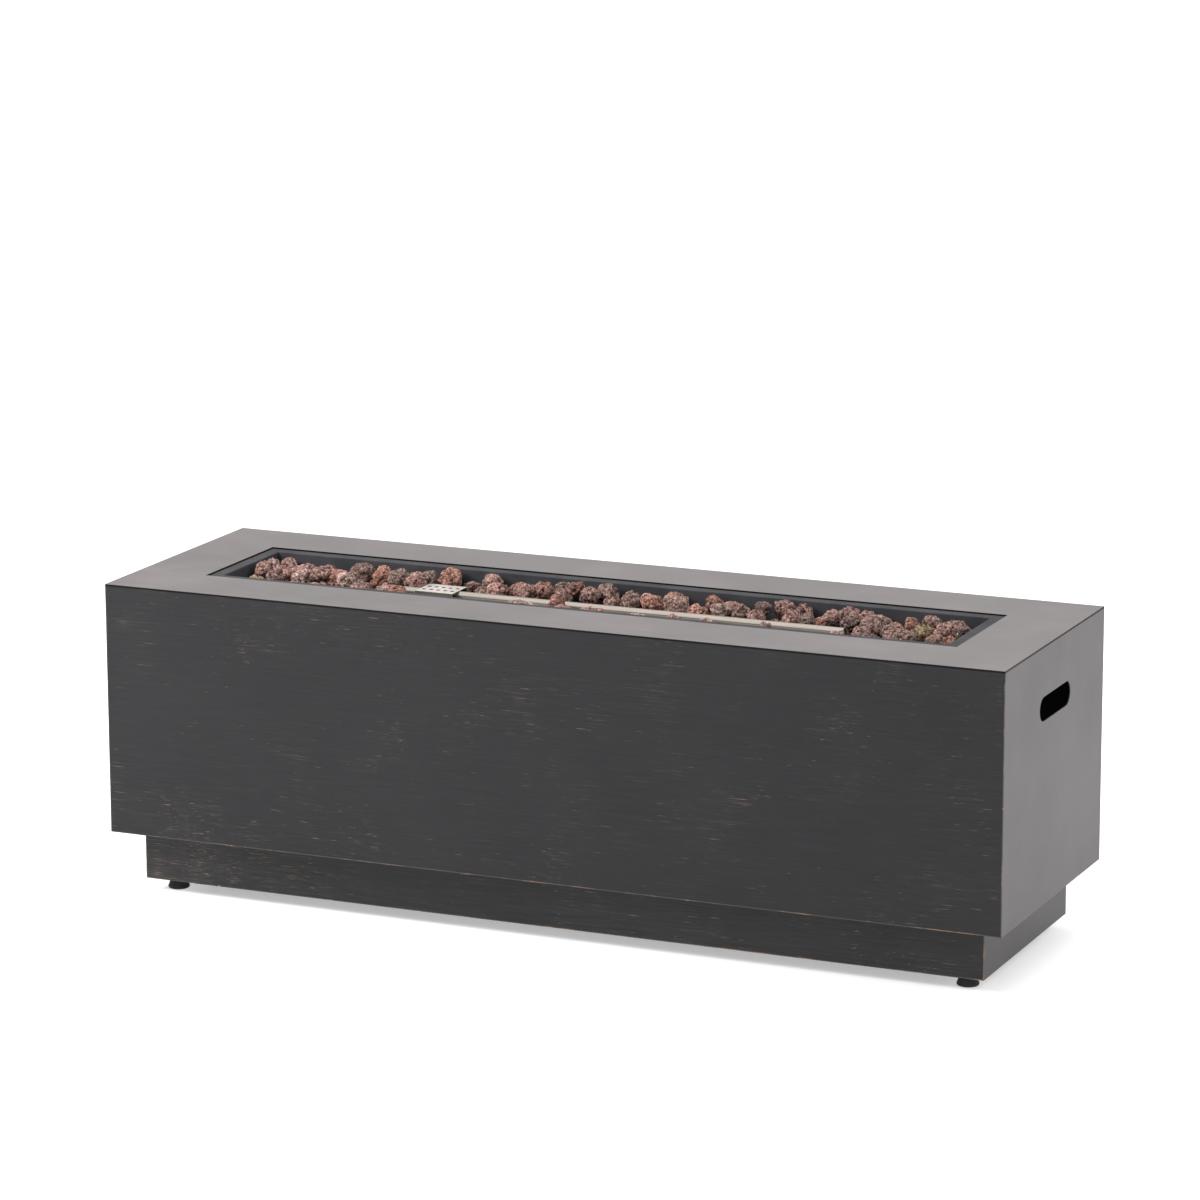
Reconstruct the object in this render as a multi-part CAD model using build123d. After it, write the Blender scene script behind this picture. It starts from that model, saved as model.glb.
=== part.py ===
from build123d import *
import math
import os
import random
from itertools import combinations, product

import numpy as np

# Rectangular propane fire pit: a folded sheet-iron case on a recessed plinth with four
# screw feet, a drop-in pan with a straight burner under lava rock, and a control dish
# with a push-and-turn valve and a battery igniter on the left end.
# Millimetres. Origin on the floor under the middle of the case, +Z up, +X along the
# case towards its plain end, -Y towards the front.

# Case
LENGTH = 1420.0
WIDTH = 441.0
BODY_HEIGHT = 384.0
SHEET = 1.5
EDGE_ROUND = 1.0
TOP_FLANGE = 22.0
CORNER_FLANGE = 18.0
FOLD_GAP = 0.4
HAND_SLOT_LENGTH = 136.0
HAND_SLOT_HEIGHT = 36.0
HAND_SLOT_BELOW_TOP = 93.0

# Plinth
PLINTH_HEIGHT = 78.0
PLINTH_SETBACK = 38.0
PLINTH_TOP_FLANGE = 16.0
PLINTH_FOOT_FLANGE = 14.0
HOSE_HOLE_Y = 60.0

# Screw feet
FOOT_GAP = 20.0
FOOT_INSET = 36.0
PAD_RADIUS = 17.6
PAD_TOP_RADIUS = 13.0
PAD_HEIGHT = 12.0
PAD_FLOOR = 4.0
PAD_EDGE_ROUND = 2.6
FOOT_STUD_RADIUS = 3.9
FOOT_STUD_TOP = 58.0
FOOT_COLLAR_FLATS = 14.0
FOOT_COLLAR_HEIGHT = 5.0
FOOT_BRACKET_SIZE = 64.0
FOOT_BRACKET_SHEET = 3.0
WELD_NUT_FLATS = 13.0
WELD_NUT_HEIGHT = 6.5

# Opening in the top and the pan that drops into it
RIM_WIDTH = 111.0
LEDGE = 12.0
PAN_SHEET = 1.5
PAN_DROP = 2.0
PAN_GAP = 2.0
PAN_FLANGE = 18.0
PAN_DEPTH = 54.0
PAN_ROLL = 1.4
DRAIN_RADIUS = 4.0
DRAIN_SPACING = 360.0

# Burner
TUBE_RADIUS = 9.5
TUBE_WALL = 1.5
TUBE_BELOW_TOP = 24.5
TUBE_INLET_X = -370.0
TUBE_END_X = 386.0
TUBE_BEND = 26.0
TUBE_UNDER_PAN = 16.0
PORT_RADIUS = 1.2
PORT_SPACING = 30.0
PORT_BELOW_LEVEL = 20.0
SADDLE_X = (-120.0, 330.0)
SADDLE_SHEET = 1.5
SADDLE_HALF_WIDTH = 13.0
SADDLE_FOOT = 24.0
PLUG_FLANGE = 2.0
PLUG_DEPTH = 6.0

# Igniter hood over the burner, and the pilot parts under it
HOOD_X = -259.0
HOOD_LENGTH = 62.0
HOOD_DEPTH = 52.0
HOOD_SHEET = 1.0
HOOD_HOLE_RADIUS = 3.2
HOOD_HOLE_COLUMNS = 5
HOOD_HOLE_ROWS = 2
HOOD_HOLE_STEP_X = 11.6
HOOD_HOLE_STEP_Y = 19.0
HOOD_FOOT = 11.0
PILOT_Y = -17.0
PILOT_SPREAD = 10.0
PILOT_SHELF_HEIGHT = 10.0
PILOT_SHELF_LENGTH = 40.0
PILOT_SHELF_DEPTH = 11.0
PILOT_SHEET = 1.2
CERAMIC_RADIUS = 3.0
CERAMIC_ABOVE = 9.0
ELECTRODE_RADIUS = 1.0
ELECTRODE_RISE = 9.0
ELECTRODE_REACH = 5.0
ELECTRODE_BEND = 2.5
THERMOCOUPLE_RADIUS = 2.4
THERMOCOUPLE_ABOVE = 14.0
PROBE_BELOW_PAN = 12.0
PAN_WIRE_HOLE_RADIUS = 5.0

# Mixer under the pan
JAM_NUT_FLATS = 30.0
JAM_NUT_HEIGHT = 8.0
MIXER_RADIUS = 13.0
MIXER_LENGTH = 36.0
MIXER_WALL = 4.0
AIR_HOLE_RADIUS = 4.0
AIR_HOLE_COUNT = 4
NIPPLE_RADIUS = 6.5
NIPPLE_LENGTH = 10.0
TUBE_NUT_FLATS = 17.0
TUBE_NUT_HEIGHT = 12.0
GAS_TUBE_RADIUS = 4.5
GAS_TUBE_BEND = 52.0
GAS_TUBE_SWEEP = 90.0

# Control dish on the left end
CONTROL_HEIGHT = 230.0
DISH_LENGTH = 164.0
DISH_HEIGHT = 84.0
DISH_DEPTH = 14.0
DISH_SHEET = 1.2
DISH_CORNER = 8.0
DISH_FLANGE = 8.0
KNOB_Y = -32.0
IGNITER_Y = 42.0

# Push-and-turn gas valve
KNOB_RADIUS = 22.0
KNOB_HEIGHT = 20.0
KNOB_SKIRT = 7.0
KNOB_GRIP_WIDTH = 13.0
KNOB_STAND_OFF = 7.5
KNOB_SOCKET = 12.0
KNOB_EDGE_ROUND = 1.2
KNOB_MARK_WIDTH = 1.6
KNOB_MARK_DEPTH = 0.6
PUSH_TRAVEL = 4.0
STEM_RADIUS = 4.0
STEM_COLLAR_RADIUS = 5.6
STEM_COLLAR = 1.5
STEM_LENGTH_IN_VALVE = 26.0
RUNNING_GAP = 0.08
VALVE_SIZE = 32.0
VALVE_HEIGHT = 44.0
VALVE_DEPTH = 42.0
VALVE_BOSS_RADIUS = 10.0
VALVE_BOSS_PROUD = 2.0
VALVE_EAR_SPREAD = 40.0
VALVE_EAR_THICKNESS = 4.0
SPRING_POCKET_RADIUS = 7.2
SPRING_POCKET_DEPTH = 15.0
WASHER_RADIUS = 6.8
WASHER_THICKNESS = 1.2
STEM_SPRING_RADIUS = 5.8
STEM_SPRING_WIRE = 0.9
STEM_SPRING_TURNS = 4
INLET_RADIUS = 7.9
INLET_LENGTH = 16.0
INLET_HEX_FLATS = 20.0
INLET_HEX_HEIGHT = 8.0
THERMO_PORT_ABOVE = 15.0

# Battery igniter
IGNITER_RADIUS = 11.0
IGNITER_LENGTH = 62.0
IGNITER_FLANGE_RADIUS = 14.0
IGNITER_FLANGE = 2.0
IGNITER_NECK_RADIUS = 10.0
IGNITER_NECK = 8.0
IGNITER_NUT_FLATS = 28.0
IGNITER_NUT_HEIGHT = 6.0
CAP_RADIUS = 13.0
CAP_WALL = 2.5
BATTERY_RADIUS = 7.25
BATTERY_LENGTH = 50.0
BATTERY_NUB_RADIUS = 2.7
BATTERY_NUB = 1.0
BUTTON_RADIUS = 6.0
BUTTON_PROUD = 3.6
BUTTON_FLANGE_RADIUS = 7.2
BUTTON_FLANGE = 1.2
PRESS_TRAVEL = 3.0
CONTACT_SPRING_RADIUS = 5.6
CONTACT_SPRING_WIRE = 0.5
CONTACT_SPRING_TURNS = 2
CONTACT_SPRING_SPARE = 1.0
LEAD_RADIUS = 1.6
CAPILLARY_RADIUS = 1.2
LEAD_BEND = 20.0

# Hose grommet in the plinth
GROMMET_BORE = 8.0
GROMMET_NECK_RADIUS = 11.0
GROMMET_RADIUS = 14.0
GROMMET_LIP = 3.0

# Fasteners
BOLT_RADIUS = 2.5
BOLT_HOLE_RADIUS = 2.8
BOLT_HEAD_FLATS = 8.0
BOLT_HEAD_HEIGHT = 3.5
NUT_HEIGHT = 4.0
STUD_LENGTH = 11.0
BOLT_END = 3.0
BOLT_SPACING = 280.0
TOP_STUD_SPACING = 400.0
SCREW_RADIUS = 1.75
SCREW_HEAD_RADIUS = 3.2
SCREW_HEAD_HEIGHT = 2.2
SCREW_LENGTH = 7.0

# Lava rock
ROCK_SEED = 7
ROCK_SMALLEST = 25.0
ROCK_LARGEST = 46.0
ROCK_WIDTHS = (0.85, 1.15)
ROCK_HEIGHTS = (0.70, 1.0)
ROCK_UNEVEN = 0.22
ROCK_GAP = 0.6
ROCK_TRIES = 8
ROCKS_AT_BACK = 600
ROCKS_AT_FRONT = 100
BED_DEPTH_AT_BACK = 56.0
BED_DEPTH_AT_FRONT = 55.0

SEAT_GAP = 0.3
TOUCH_GAP = 0.05

# Levels and half sizes that follow from the sizes above
Z_PLINTH = FOOT_GAP
Z_BODY = Z_PLINTH + PLINTH_HEIGHT
Z_TOP = Z_BODY + BODY_HEIGHT
HALF_X = LENGTH / 2
HALF_Y = WIDTH / 2
PLINTH_X = HALF_X - PLINTH_SETBACK
PLINTH_Y = HALF_Y - PLINTH_SETBACK
BOTTOM_FLANGE = PLINTH_SETBACK + PLINTH_TOP_FLANGE
OPEN_X = HALF_X - RIM_WIDTH
OPEN_Y = HALF_Y - RIM_WIDTH
LEDGE_TOP = Z_TOP - PAN_DROP - PAN_SHEET
PAN_X = OPEN_X - PAN_GAP - PAN_FLANGE
PAN_Y = OPEN_Y - PAN_GAP - PAN_FLANGE
PAN_FLOOR = Z_TOP - PAN_DROP - PAN_DEPTH
PAN_UNDERSIDE = PAN_FLOOR - PAN_SHEET
TUBE_Z = Z_TOP - TUBE_BELOW_TOP
TUBE_FOOT_Z = PAN_UNDERSIDE - TUBE_UNDER_PAN
HOOD_TOP = TUBE_Z + TUBE_RADIUS + SEAT_GAP + HOOD_SHEET
PILOT_SHELF_TOP = PAN_FLOOR + PILOT_SHELF_HEIGHT
PROBE_LOW = PAN_UNDERSIDE - PROBE_BELOW_PAN
CERAMIC_X = HOOD_X - PILOT_SPREAD
THERMOCOUPLE_X = HOOD_X + PILOT_SPREAD
MIXER_TOP = PAN_UNDERSIDE - JAM_NUT_HEIGHT
MIXER_LOW = MIXER_TOP - MIXER_LENGTH
NIPPLE_LOW = MIXER_LOW - NIPPLE_LENGTH
LEFT = -HALF_X
DISH_FLOOR = LEFT + DISH_DEPTH
DISH_BACK = DISH_FLOOR + DISH_SHEET
BOSS_FRONT = DISH_FLOOR - VALVE_BOSS_PROUD
VALVE_REAR = DISH_BACK + VALVE_DEPTH
KNOB_BACK = DISH_FLOOR - KNOB_STAND_OFF
KNOB_FRONT = KNOB_BACK - KNOB_HEIGHT
WASHER_FRONT = BOSS_FRONT + SEAT_GAP
SPRING_SEAT = BOSS_FRONT + SPRING_POCKET_DEPTH
NECK_FRONT = DISH_FLOOR - IGNITER_FLANGE - IGNITER_NECK
CAP_BACK = DISH_FLOOR - IGNITER_FLANGE - SEAT_GAP
CAP_INSIDE = NECK_FRONT - SEAT_GAP
CAP_FRONT = CAP_INSIDE - CAP_WALL
CONTACT_SPRING_PRESSED = CONTACT_SPRING_WIRE * CONTACT_SPRING_TURNS + CONTACT_SPRING_SPARE
BATTERY_FRONT = CAP_INSIDE + BUTTON_FLANGE + PRESS_TRAVEL + CONTACT_SPRING_PRESSED
BATTERY_REAR = BATTERY_FRONT + BATTERY_LENGTH
IGNITER_REAR = DISH_FLOOR + IGNITER_LENGTH
FOOT_BRACKET_Z = Z_PLINTH + SHEET
FOOT_COLLAR_TOP = FOOT_BRACKET_Z - SEAT_GAP
HOSE_HOLE_Z = Z_PLINTH + PLINTH_HEIGHT / 2

X_AXIS = (1, 0, 0)
Y_AXIS = (0, 1, 0)
Z_AXIS = (0, 0, 1)
OUT_LEFT = (-1, 0, 0)


# Small shapes that everything is made of

def block(x0, x1, y0, y1, z0, z1):
    """Box between two corners, given in either order."""
    box = Box(abs(x1 - x0), abs(y1 - y0), abs(z1 - z0))
    return Pos((x0 + x1) / 2, (y0 + y1) / 2, (z0 + z1) / 2) * box


def frame(x, y, hole_x, hole_y, z0, z1):
    """Rectangular ring, by the half sizes of its outside and its hole."""
    return block(-x, x, -y, y, z0, z1) - block(-hole_x, hole_x, -hole_y, hole_y, z0, z1)


def rod(radius, start, axis, length):
    return extrude(Plane(origin=start, z_dir=axis) * Circle(radius), length)


def pipe(radius, bore, start, axis, length):
    return rod(radius, start, axis, length) - rod(bore, start, axis, length)


def hexagon(flats, start, axis, length):
    outline = RegularPolygon(flats / 2, 6, major_radius=False)
    return extrude(Plane(origin=start, z_dir=axis) * outline, length)


def bent_rod(radius, points, bends):
    """Round bar along straight runs joined by tangent arcs."""
    path = FilletPolyline(*points, radius=bends)
    return sweep(Plane(origin=path @ 0, z_dir=path % 0) * Circle(radius), path=path)


def coil_spring(radius, wire, turns, start, length):
    """Helical spring along +X whose wire stays between start and start + length."""
    rise = length - wire
    path = Helix(rise / turns, rise, radius - wire / 2, center=(start + wire / 2, 0, 0), direction=X_AXIS)
    return sweep(Plane(origin=path @ 0, z_dir=path % 0) * Circle(wire / 2), path=path, is_frenet=True)


# Where the fasteners sit

def spaced(step, reach):
    """Even positions about zero, a step apart, that stay inside the reach."""
    count = int(reach // step)
    return [step * k for k in range(-count, count + 1)]


TOP_STUD_INSET = TOP_FLANGE / 2 + SHEET / 2
TOP_STUD_X = [x + TOP_STUD_SPACING / 2 for x in spaced(TOP_STUD_SPACING, HALF_X - TOP_STUD_SPACING / 2)[:-1]]
TOP_STUD_END_Y = WIDTH / 8
TOP_STUDS = [(x, s * (HALF_Y - TOP_STUD_INSET)) for x in TOP_STUD_X for s in (-1, 1)]
TOP_STUDS += [(s * (HALF_X - TOP_STUD_INSET), t * TOP_STUD_END_Y) for s in (-1, 1) for t in (-1, 1)]

BOLT_INSET = PLINTH_SETBACK + PLINTH_TOP_FLANGE / 2 + SHEET / 2
BOLT_END_Y = WIDTH / 5
PLINTH_BOLTS = [(x, s * (HALF_Y - BOLT_INSET)) for x in spaced(BOLT_SPACING, PLINTH_X - BOLT_SPACING / 4)
                for s in (-1, 1)]
PLINTH_BOLTS += [(s * (HALF_X - BOLT_INSET), t * BOLT_END_Y) for s in (-1, 1) for t in (-1, 1)]

DISH_SCREW_Y = (DISH_LENGTH + DISH_FLANGE) / 2
DISH_SCREW_Z = (DISH_HEIGHT + DISH_FLANGE) / 2
DISH_SCREWS = [(s * DISH_SCREW_Y, CONTROL_HEIGHT + t * DISH_SCREW_Z) for s in (-1, 1) for t in (-1, 1)]
VALVE_SCREWS = [(KNOB_Y, CONTROL_HEIGHT + t * VALVE_EAR_SPREAD / 2) for t in (-1, 1)]

SADDLE_SCREW_X = SADDLE_FOOT / 4
HOOD_FOOT_Y = HOOD_DEPTH / 2 + HOOD_FOOT / 2
PAN_SCREWS = [(x + SADDLE_SCREW_X, 0, SADDLE_SHEET) for x in SADDLE_X]
PAN_SCREWS += [(HOOD_X, s * HOOD_FOOT_Y, HOOD_SHEET) for s in (-1, 1)]

FEET = {
    "front_left": (-1, -1),
    "front_right": (1, -1),
    "back_left": (-1, 1),
    "back_right": (1, 1),
}


def foot_centre(corner):
    sx, sy = FEET[corner]
    return sx * (PLINTH_X - FOOT_INSET), sy * (PLINTH_Y - FOOT_INSET)


def screw_holes(places, x, depth):
    """Clearance holes along +X from x, for screws in the left end."""
    return [rod(SCREW_RADIUS + RUNNING_GAP, (x, y, z), X_AXIS, depth) for y, z in places]


def bolt_holes(places, z):
    return [rod(BOLT_HOLE_RADIUS, (x, y, z - SHEET), Z_AXIS, 3 * SHEET) for x, y in places]


# Case

def top_panel():
    plate = frame(HALF_X, HALF_Y, OPEN_X, OPEN_Y, Z_TOP - SHEET, Z_TOP)
    rim = plate.faces().sort_by(Axis.Z)[-1].outer_wire().edges()
    plate = fillet(rim, EDGE_ROUND)
    lip_x, lip_y = OPEN_X + SHEET, OPEN_Y + SHEET
    lip = frame(lip_x, lip_y, OPEN_X, OPEN_Y, LEDGE_TOP - SHEET, Z_TOP - SHEET)
    ledge = frame(lip_x, lip_y, OPEN_X - LEDGE, OPEN_Y - LEDGE, LEDGE_TOP - SHEET, LEDGE_TOP)
    studs = [rod(BOLT_RADIUS, (x, y, Z_TOP - SHEET), (0, 0, -1), STUD_LENGTH) for x, y in TOP_STUDS]
    return plate + [lip, ledge] + studs


def long_panel(side):
    """Front (-1) or back (+1) sheet, folded in along its top and bottom."""
    face, inside = side * HALF_Y, side * (HALF_Y - SHEET)
    fold_x = HALF_X - SHEET - FOLD_GAP
    wall = block(-HALF_X, HALF_X, face, inside, Z_BODY, Z_TOP - SHEET)
    top = block(-fold_x, fold_x, inside, side * (HALF_Y - TOP_FLANGE), Z_TOP - 2 * SHEET, Z_TOP - SHEET)
    low = block(-fold_x, fold_x, inside, side * (HALF_Y - BOTTOM_FLANGE), Z_BODY, Z_BODY + SHEET)
    holes = bolt_holes([p for p in TOP_STUDS if p[1] * side > HALF_Y - TOP_FLANGE], Z_TOP - 2 * SHEET)
    holes += bolt_holes([p for p in PLINTH_BOLTS if p[1] * side > HALF_Y - BOTTOM_FLANGE], Z_BODY)
    return wall + [top, low] - holes


def hand_slot(side):
    plane = Plane(origin=(side * HALF_X, 0, Z_TOP - HAND_SLOT_BELOW_TOP), x_dir=Y_AXIS, z_dir=X_AXIS)
    return extrude(plane * SlotOverall(HAND_SLOT_LENGTH, HAND_SLOT_HEIGHT), 2 * SHEET, both=True)


def dish_outline(grow, x, depth):
    """Rounded rectangle of the control dish, grown by a wall, from x inwards."""
    plane = Plane(origin=(x, 0, CONTROL_HEIGHT), x_dir=Y_AXIS, z_dir=X_AXIS)
    outline = RectangleRounded(DISH_LENGTH + 2 * grow, DISH_HEIGHT + 2 * grow, DISH_CORNER + grow)
    return extrude(plane * outline, depth)


def end_panel(side):
    """Left (-1) or right (+1) sheet between the long ones, folded in all round."""
    face, inside = side * HALF_X, side * (HALF_X - SHEET)
    half = HALF_Y - SHEET
    wall = block(face, inside, -half, half, Z_BODY, Z_TOP - SHEET)
    fold_low, fold_high = Z_BODY + SHEET + FOLD_GAP, Z_TOP - 2 * SHEET - FOLD_GAP
    corner_x = side * (HALF_X - CORNER_FLANGE)
    folds = [block(inside, corner_x, s * half, s * (half - SHEET), fold_low, fold_high) for s in (-1, 1)]
    top_y = HALF_Y - TOP_FLANGE - FOLD_GAP
    low_y = HALF_Y - BOTTOM_FLANGE - FOLD_GAP
    top_x, low_x = side * (HALF_X - TOP_FLANGE), side * (HALF_X - BOTTOM_FLANGE)
    folds.append(block(inside, top_x, -top_y, top_y, Z_TOP - 2 * SHEET, Z_TOP - SHEET))
    folds.append(block(inside, low_x, -low_y, low_y, Z_BODY, Z_BODY + SHEET))
    cuts = [hand_slot(side)]
    cuts += bolt_holes([p for p in TOP_STUDS if p[0] * side > HALF_X - TOP_FLANGE], Z_TOP - 2 * SHEET)
    cuts += bolt_holes([p for p in PLINTH_BOLTS if p[0] * side > HALF_X - BOTTOM_FLANGE], Z_BODY)
    if side < 0:
        cuts.append(dish_outline(SEAT_GAP, LEFT - SHEET, 3 * SHEET))
        cuts += screw_holes(DISH_SCREWS, LEFT - SHEET, 3 * SHEET)
    return wall + folds - cuts


# Plinth and feet

def plinth_long(side):
    face, inside = side * PLINTH_Y, side * (PLINTH_Y - SHEET)
    fold_x = PLINTH_X - SHEET - FOLD_GAP
    wall = block(-PLINTH_X, PLINTH_X, face, inside, Z_PLINTH, Z_BODY)
    top = block(-fold_x, fold_x, inside, side * (PLINTH_Y - PLINTH_TOP_FLANGE), Z_BODY - SHEET, Z_BODY)
    low = block(-fold_x, fold_x, inside, side * (PLINTH_Y - PLINTH_FOOT_FLANGE), Z_PLINTH, Z_PLINTH + SHEET)
    bolts = [p for p in PLINTH_BOLTS if p[1] * side > PLINTH_Y - PLINTH_TOP_FLANGE]
    holes = bolt_holes(bolts, Z_BODY - SHEET)
    return wall + [top, low] - holes


def plinth_end(side):
    face, inside = side * PLINTH_X, side * (PLINTH_X - SHEET)
    half = PLINTH_Y - SHEET
    wall = block(face, inside, -half, half, Z_PLINTH, Z_BODY)
    fold_low, fold_high = Z_PLINTH + SHEET + FOLD_GAP, Z_BODY - SHEET - FOLD_GAP
    corner_x = side * (PLINTH_X - CORNER_FLANGE)
    folds = [block(inside, corner_x, s * half, s * (half - SHEET), fold_low, fold_high) for s in (-1, 1)]
    top_y = PLINTH_Y - PLINTH_TOP_FLANGE - FOLD_GAP
    low_y = PLINTH_Y - PLINTH_FOOT_FLANGE - FOLD_GAP
    top_x, low_x = side * (PLINTH_X - PLINTH_TOP_FLANGE), side * (PLINTH_X - PLINTH_FOOT_FLANGE)
    folds.append(block(inside, top_x, -top_y, top_y, Z_BODY - SHEET, Z_BODY))
    folds.append(block(inside, low_x, -low_y, low_y, Z_PLINTH, Z_PLINTH + SHEET))
    cuts = bolt_holes([p for p in PLINTH_BOLTS if p[0] * side > PLINTH_X - PLINTH_TOP_FLANGE], Z_BODY - SHEET)
    if side < 0:
        start = (-PLINTH_X - SHEET, HOSE_HOLE_Y, HOSE_HOLE_Z)
        cuts.append(rod(GROMMET_NECK_RADIUS + TOUCH_GAP, start, X_AXIS, 3 * SHEET))
    return wall + folds - cuts


def hose_grommet():
    middle = -PLINTH_X + SHEET / 2
    neck = SHEET / 2 + TOUCH_GAP
    lip = GROMMET_LIP + neck
    bush = rod(GROMMET_NECK_RADIUS, (middle - lip, HOSE_HOLE_Y, HOSE_HOLE_Z), X_AXIS, 2 * lip)
    lips = [rod(GROMMET_RADIUS, (middle + s, HOSE_HOLE_Y, HOSE_HOLE_Z), X_AXIS, GROMMET_LIP)
            for s in (-lip, neck)]
    bore = rod(GROMMET_BORE, (middle - lip, HOSE_HOLE_Y, HOSE_HOLE_Z), X_AXIS, 2 * lip)
    return bush + lips - bore


def foot_bracket(corner):
    """Plate across the plinth's corner, on its bottom folds."""
    sx, sy = FEET[corner]
    x, y = foot_centre(corner)
    near_x, near_y = PLINTH_X - SHEET - SEAT_GAP, PLINTH_Y - 2 * SHEET - SEAT_GAP
    far_x, far_y = PLINTH_X - FOOT_BRACKET_SIZE, PLINTH_Y - FOOT_BRACKET_SIZE
    top = FOOT_BRACKET_Z + FOOT_BRACKET_SHEET
    plate = block(sx * near_x, sx * far_x, sy * near_y, sy * far_y, FOOT_BRACKET_Z, top)
    return plate - rod(FOOT_STUD_RADIUS + SEAT_GAP, (x, y, FOOT_BRACKET_Z), Z_AXIS, FOOT_BRACKET_SHEET)


def foot_weld_nuts():
    base = FOOT_BRACKET_Z + FOOT_BRACKET_SHEET
    nuts = []
    for corner in FEET:
        start = (*foot_centre(corner), base)
        bore = rod(FOOT_STUD_RADIUS + RUNNING_GAP, start, Z_AXIS, WELD_NUT_HEIGHT)
        nuts.append(hexagon(WELD_NUT_FLATS, start, Z_AXIS, WELD_NUT_HEIGHT) - bore)
    return Compound(nuts)


def foot_pad(corner):
    x, y = foot_centre(corner)
    cone = Pos(x, y, PAD_HEIGHT / 2) * Cone(PAD_RADIUS, PAD_TOP_RADIUS, PAD_HEIGHT)
    cone = fillet(cone.edges().filter_by(GeomType.CIRCLE), PAD_EDGE_ROUND)
    return cone - rod(FOOT_STUD_RADIUS + RUNNING_GAP, (x, y, PAD_FLOOR), Z_AXIS, PAD_HEIGHT)


def foot_stud(corner):
    x, y = foot_centre(corner)
    low = PAD_FLOOR + RUNNING_GAP
    shank = rod(FOOT_STUD_RADIUS, (x, y, low), Z_AXIS, FOOT_STUD_TOP - low)
    collar = hexagon(FOOT_COLLAR_FLATS, (x, y, FOOT_COLLAR_TOP), (0, 0, -1), FOOT_COLLAR_HEIGHT)
    return shank + collar


# Pan and burner

def burner_pan():
    flange_x, flange_y = OPEN_X - PAN_GAP, OPEN_Y - PAN_GAP
    wall_x, wall_y = PAN_X + PAN_SHEET, PAN_Y + PAN_SHEET
    flange = frame(flange_x, flange_y, PAN_X, PAN_Y, LEDGE_TOP, LEDGE_TOP + PAN_SHEET)
    wall = frame(wall_x, wall_y, PAN_X, PAN_Y, PAN_UNDERSIDE, LEDGE_TOP + PAN_SHEET)
    floor = block(-wall_x, wall_x, -wall_y, wall_y, PAN_UNDERSIDE, PAN_FLOOR)
    pan = flange + [wall, floor]
    mouth = [e for e in pan.faces().filter_by(Axis.Z).sort_by(Axis.Z)[-1].inner_wires()[0].edges()]
    pan = fillet(mouth, PAN_ROLL)
    cuts = [pan_hole(TUBE_RADIUS + SEAT_GAP, TUBE_INLET_X, 0)]
    cuts += [pan_hole(PAN_WIRE_HOLE_RADIUS, x, PILOT_Y) for x in (CERAMIC_X, THERMOCOUPLE_X)]
    cuts += [pan_hole(DRAIN_RADIUS, x, s * PAN_Y / 2) for x in spaced(DRAIN_SPACING, PAN_X) for s in (-1, 1)]
    cuts += [pan_hole(SCREW_RADIUS + RUNNING_GAP, x, y) for x, y, lift in PAN_SCREWS]
    return pan - cuts


def pan_hole(radius, x, y):
    return rod(radius, (x, y, PAN_UNDERSIDE - PAN_SHEET), Z_AXIS, 3 * PAN_SHEET)


def burner_tube():
    """Straight tube along the pan, turned down through the floor at its inlet end."""
    points = [(TUBE_END_X, 0, TUBE_Z), (TUBE_INLET_X, 0, TUBE_Z), (TUBE_INLET_X, 0, TUBE_FOOT_Z)]
    tube = bent_rod(TUBE_RADIUS, points, TUBE_BEND) - bent_rod(TUBE_RADIUS - TUBE_WALL, points, TUBE_BEND)
    drop = math.radians(PORT_BELOW_LEVEL)
    first = TUBE_INLET_X + TUBE_BEND + PORT_SPACING
    count = int((TUBE_END_X - PORT_SPACING / 2 - first) // PORT_SPACING) + 1
    ports = []
    for k, side in product(range(count), (-1, 1)):
        direction = (0, side * math.cos(drop), -math.sin(drop))
        ports.append(rod(PORT_RADIUS, (first + k * PORT_SPACING, 0, TUBE_Z), direction, 2 * TUBE_RADIUS))
    return tube - ports


def burner_end_plug():
    flange = rod(TUBE_RADIUS, (TUBE_END_X, 0, TUBE_Z), X_AXIS, PLUG_FLANGE)
    return flange + rod(TUBE_RADIUS - TUBE_WALL - TOUCH_GAP, (TUBE_END_X, 0, TUBE_Z), OUT_LEFT, PLUG_DEPTH)


def burner_saddle(x):
    """Upright plate with a half-round seat, folded to a foot on the pan floor."""
    half, wide = SADDLE_SHEET / 2, SADDLE_HALF_WIDTH
    upright = block(x - half, x + half, -wide, wide, PAN_FLOOR, TUBE_Z)
    foot = block(x - half, x + SADDLE_FOOT / 2, -wide, wide, PAN_FLOOR, PAN_FLOOR + SADDLE_SHEET)
    seat = rod(TUBE_RADIUS + SEAT_GAP / 2, (x - SADDLE_SHEET, 0, TUBE_Z), X_AXIS, 2 * SADDLE_SHEET)
    hole = rod(SCREW_RADIUS + RUNNING_GAP, (x + SADDLE_SCREW_X, 0, PAN_FLOOR), Z_AXIS, SADDLE_SHEET)
    return upright + foot - [seat, hole]


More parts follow.
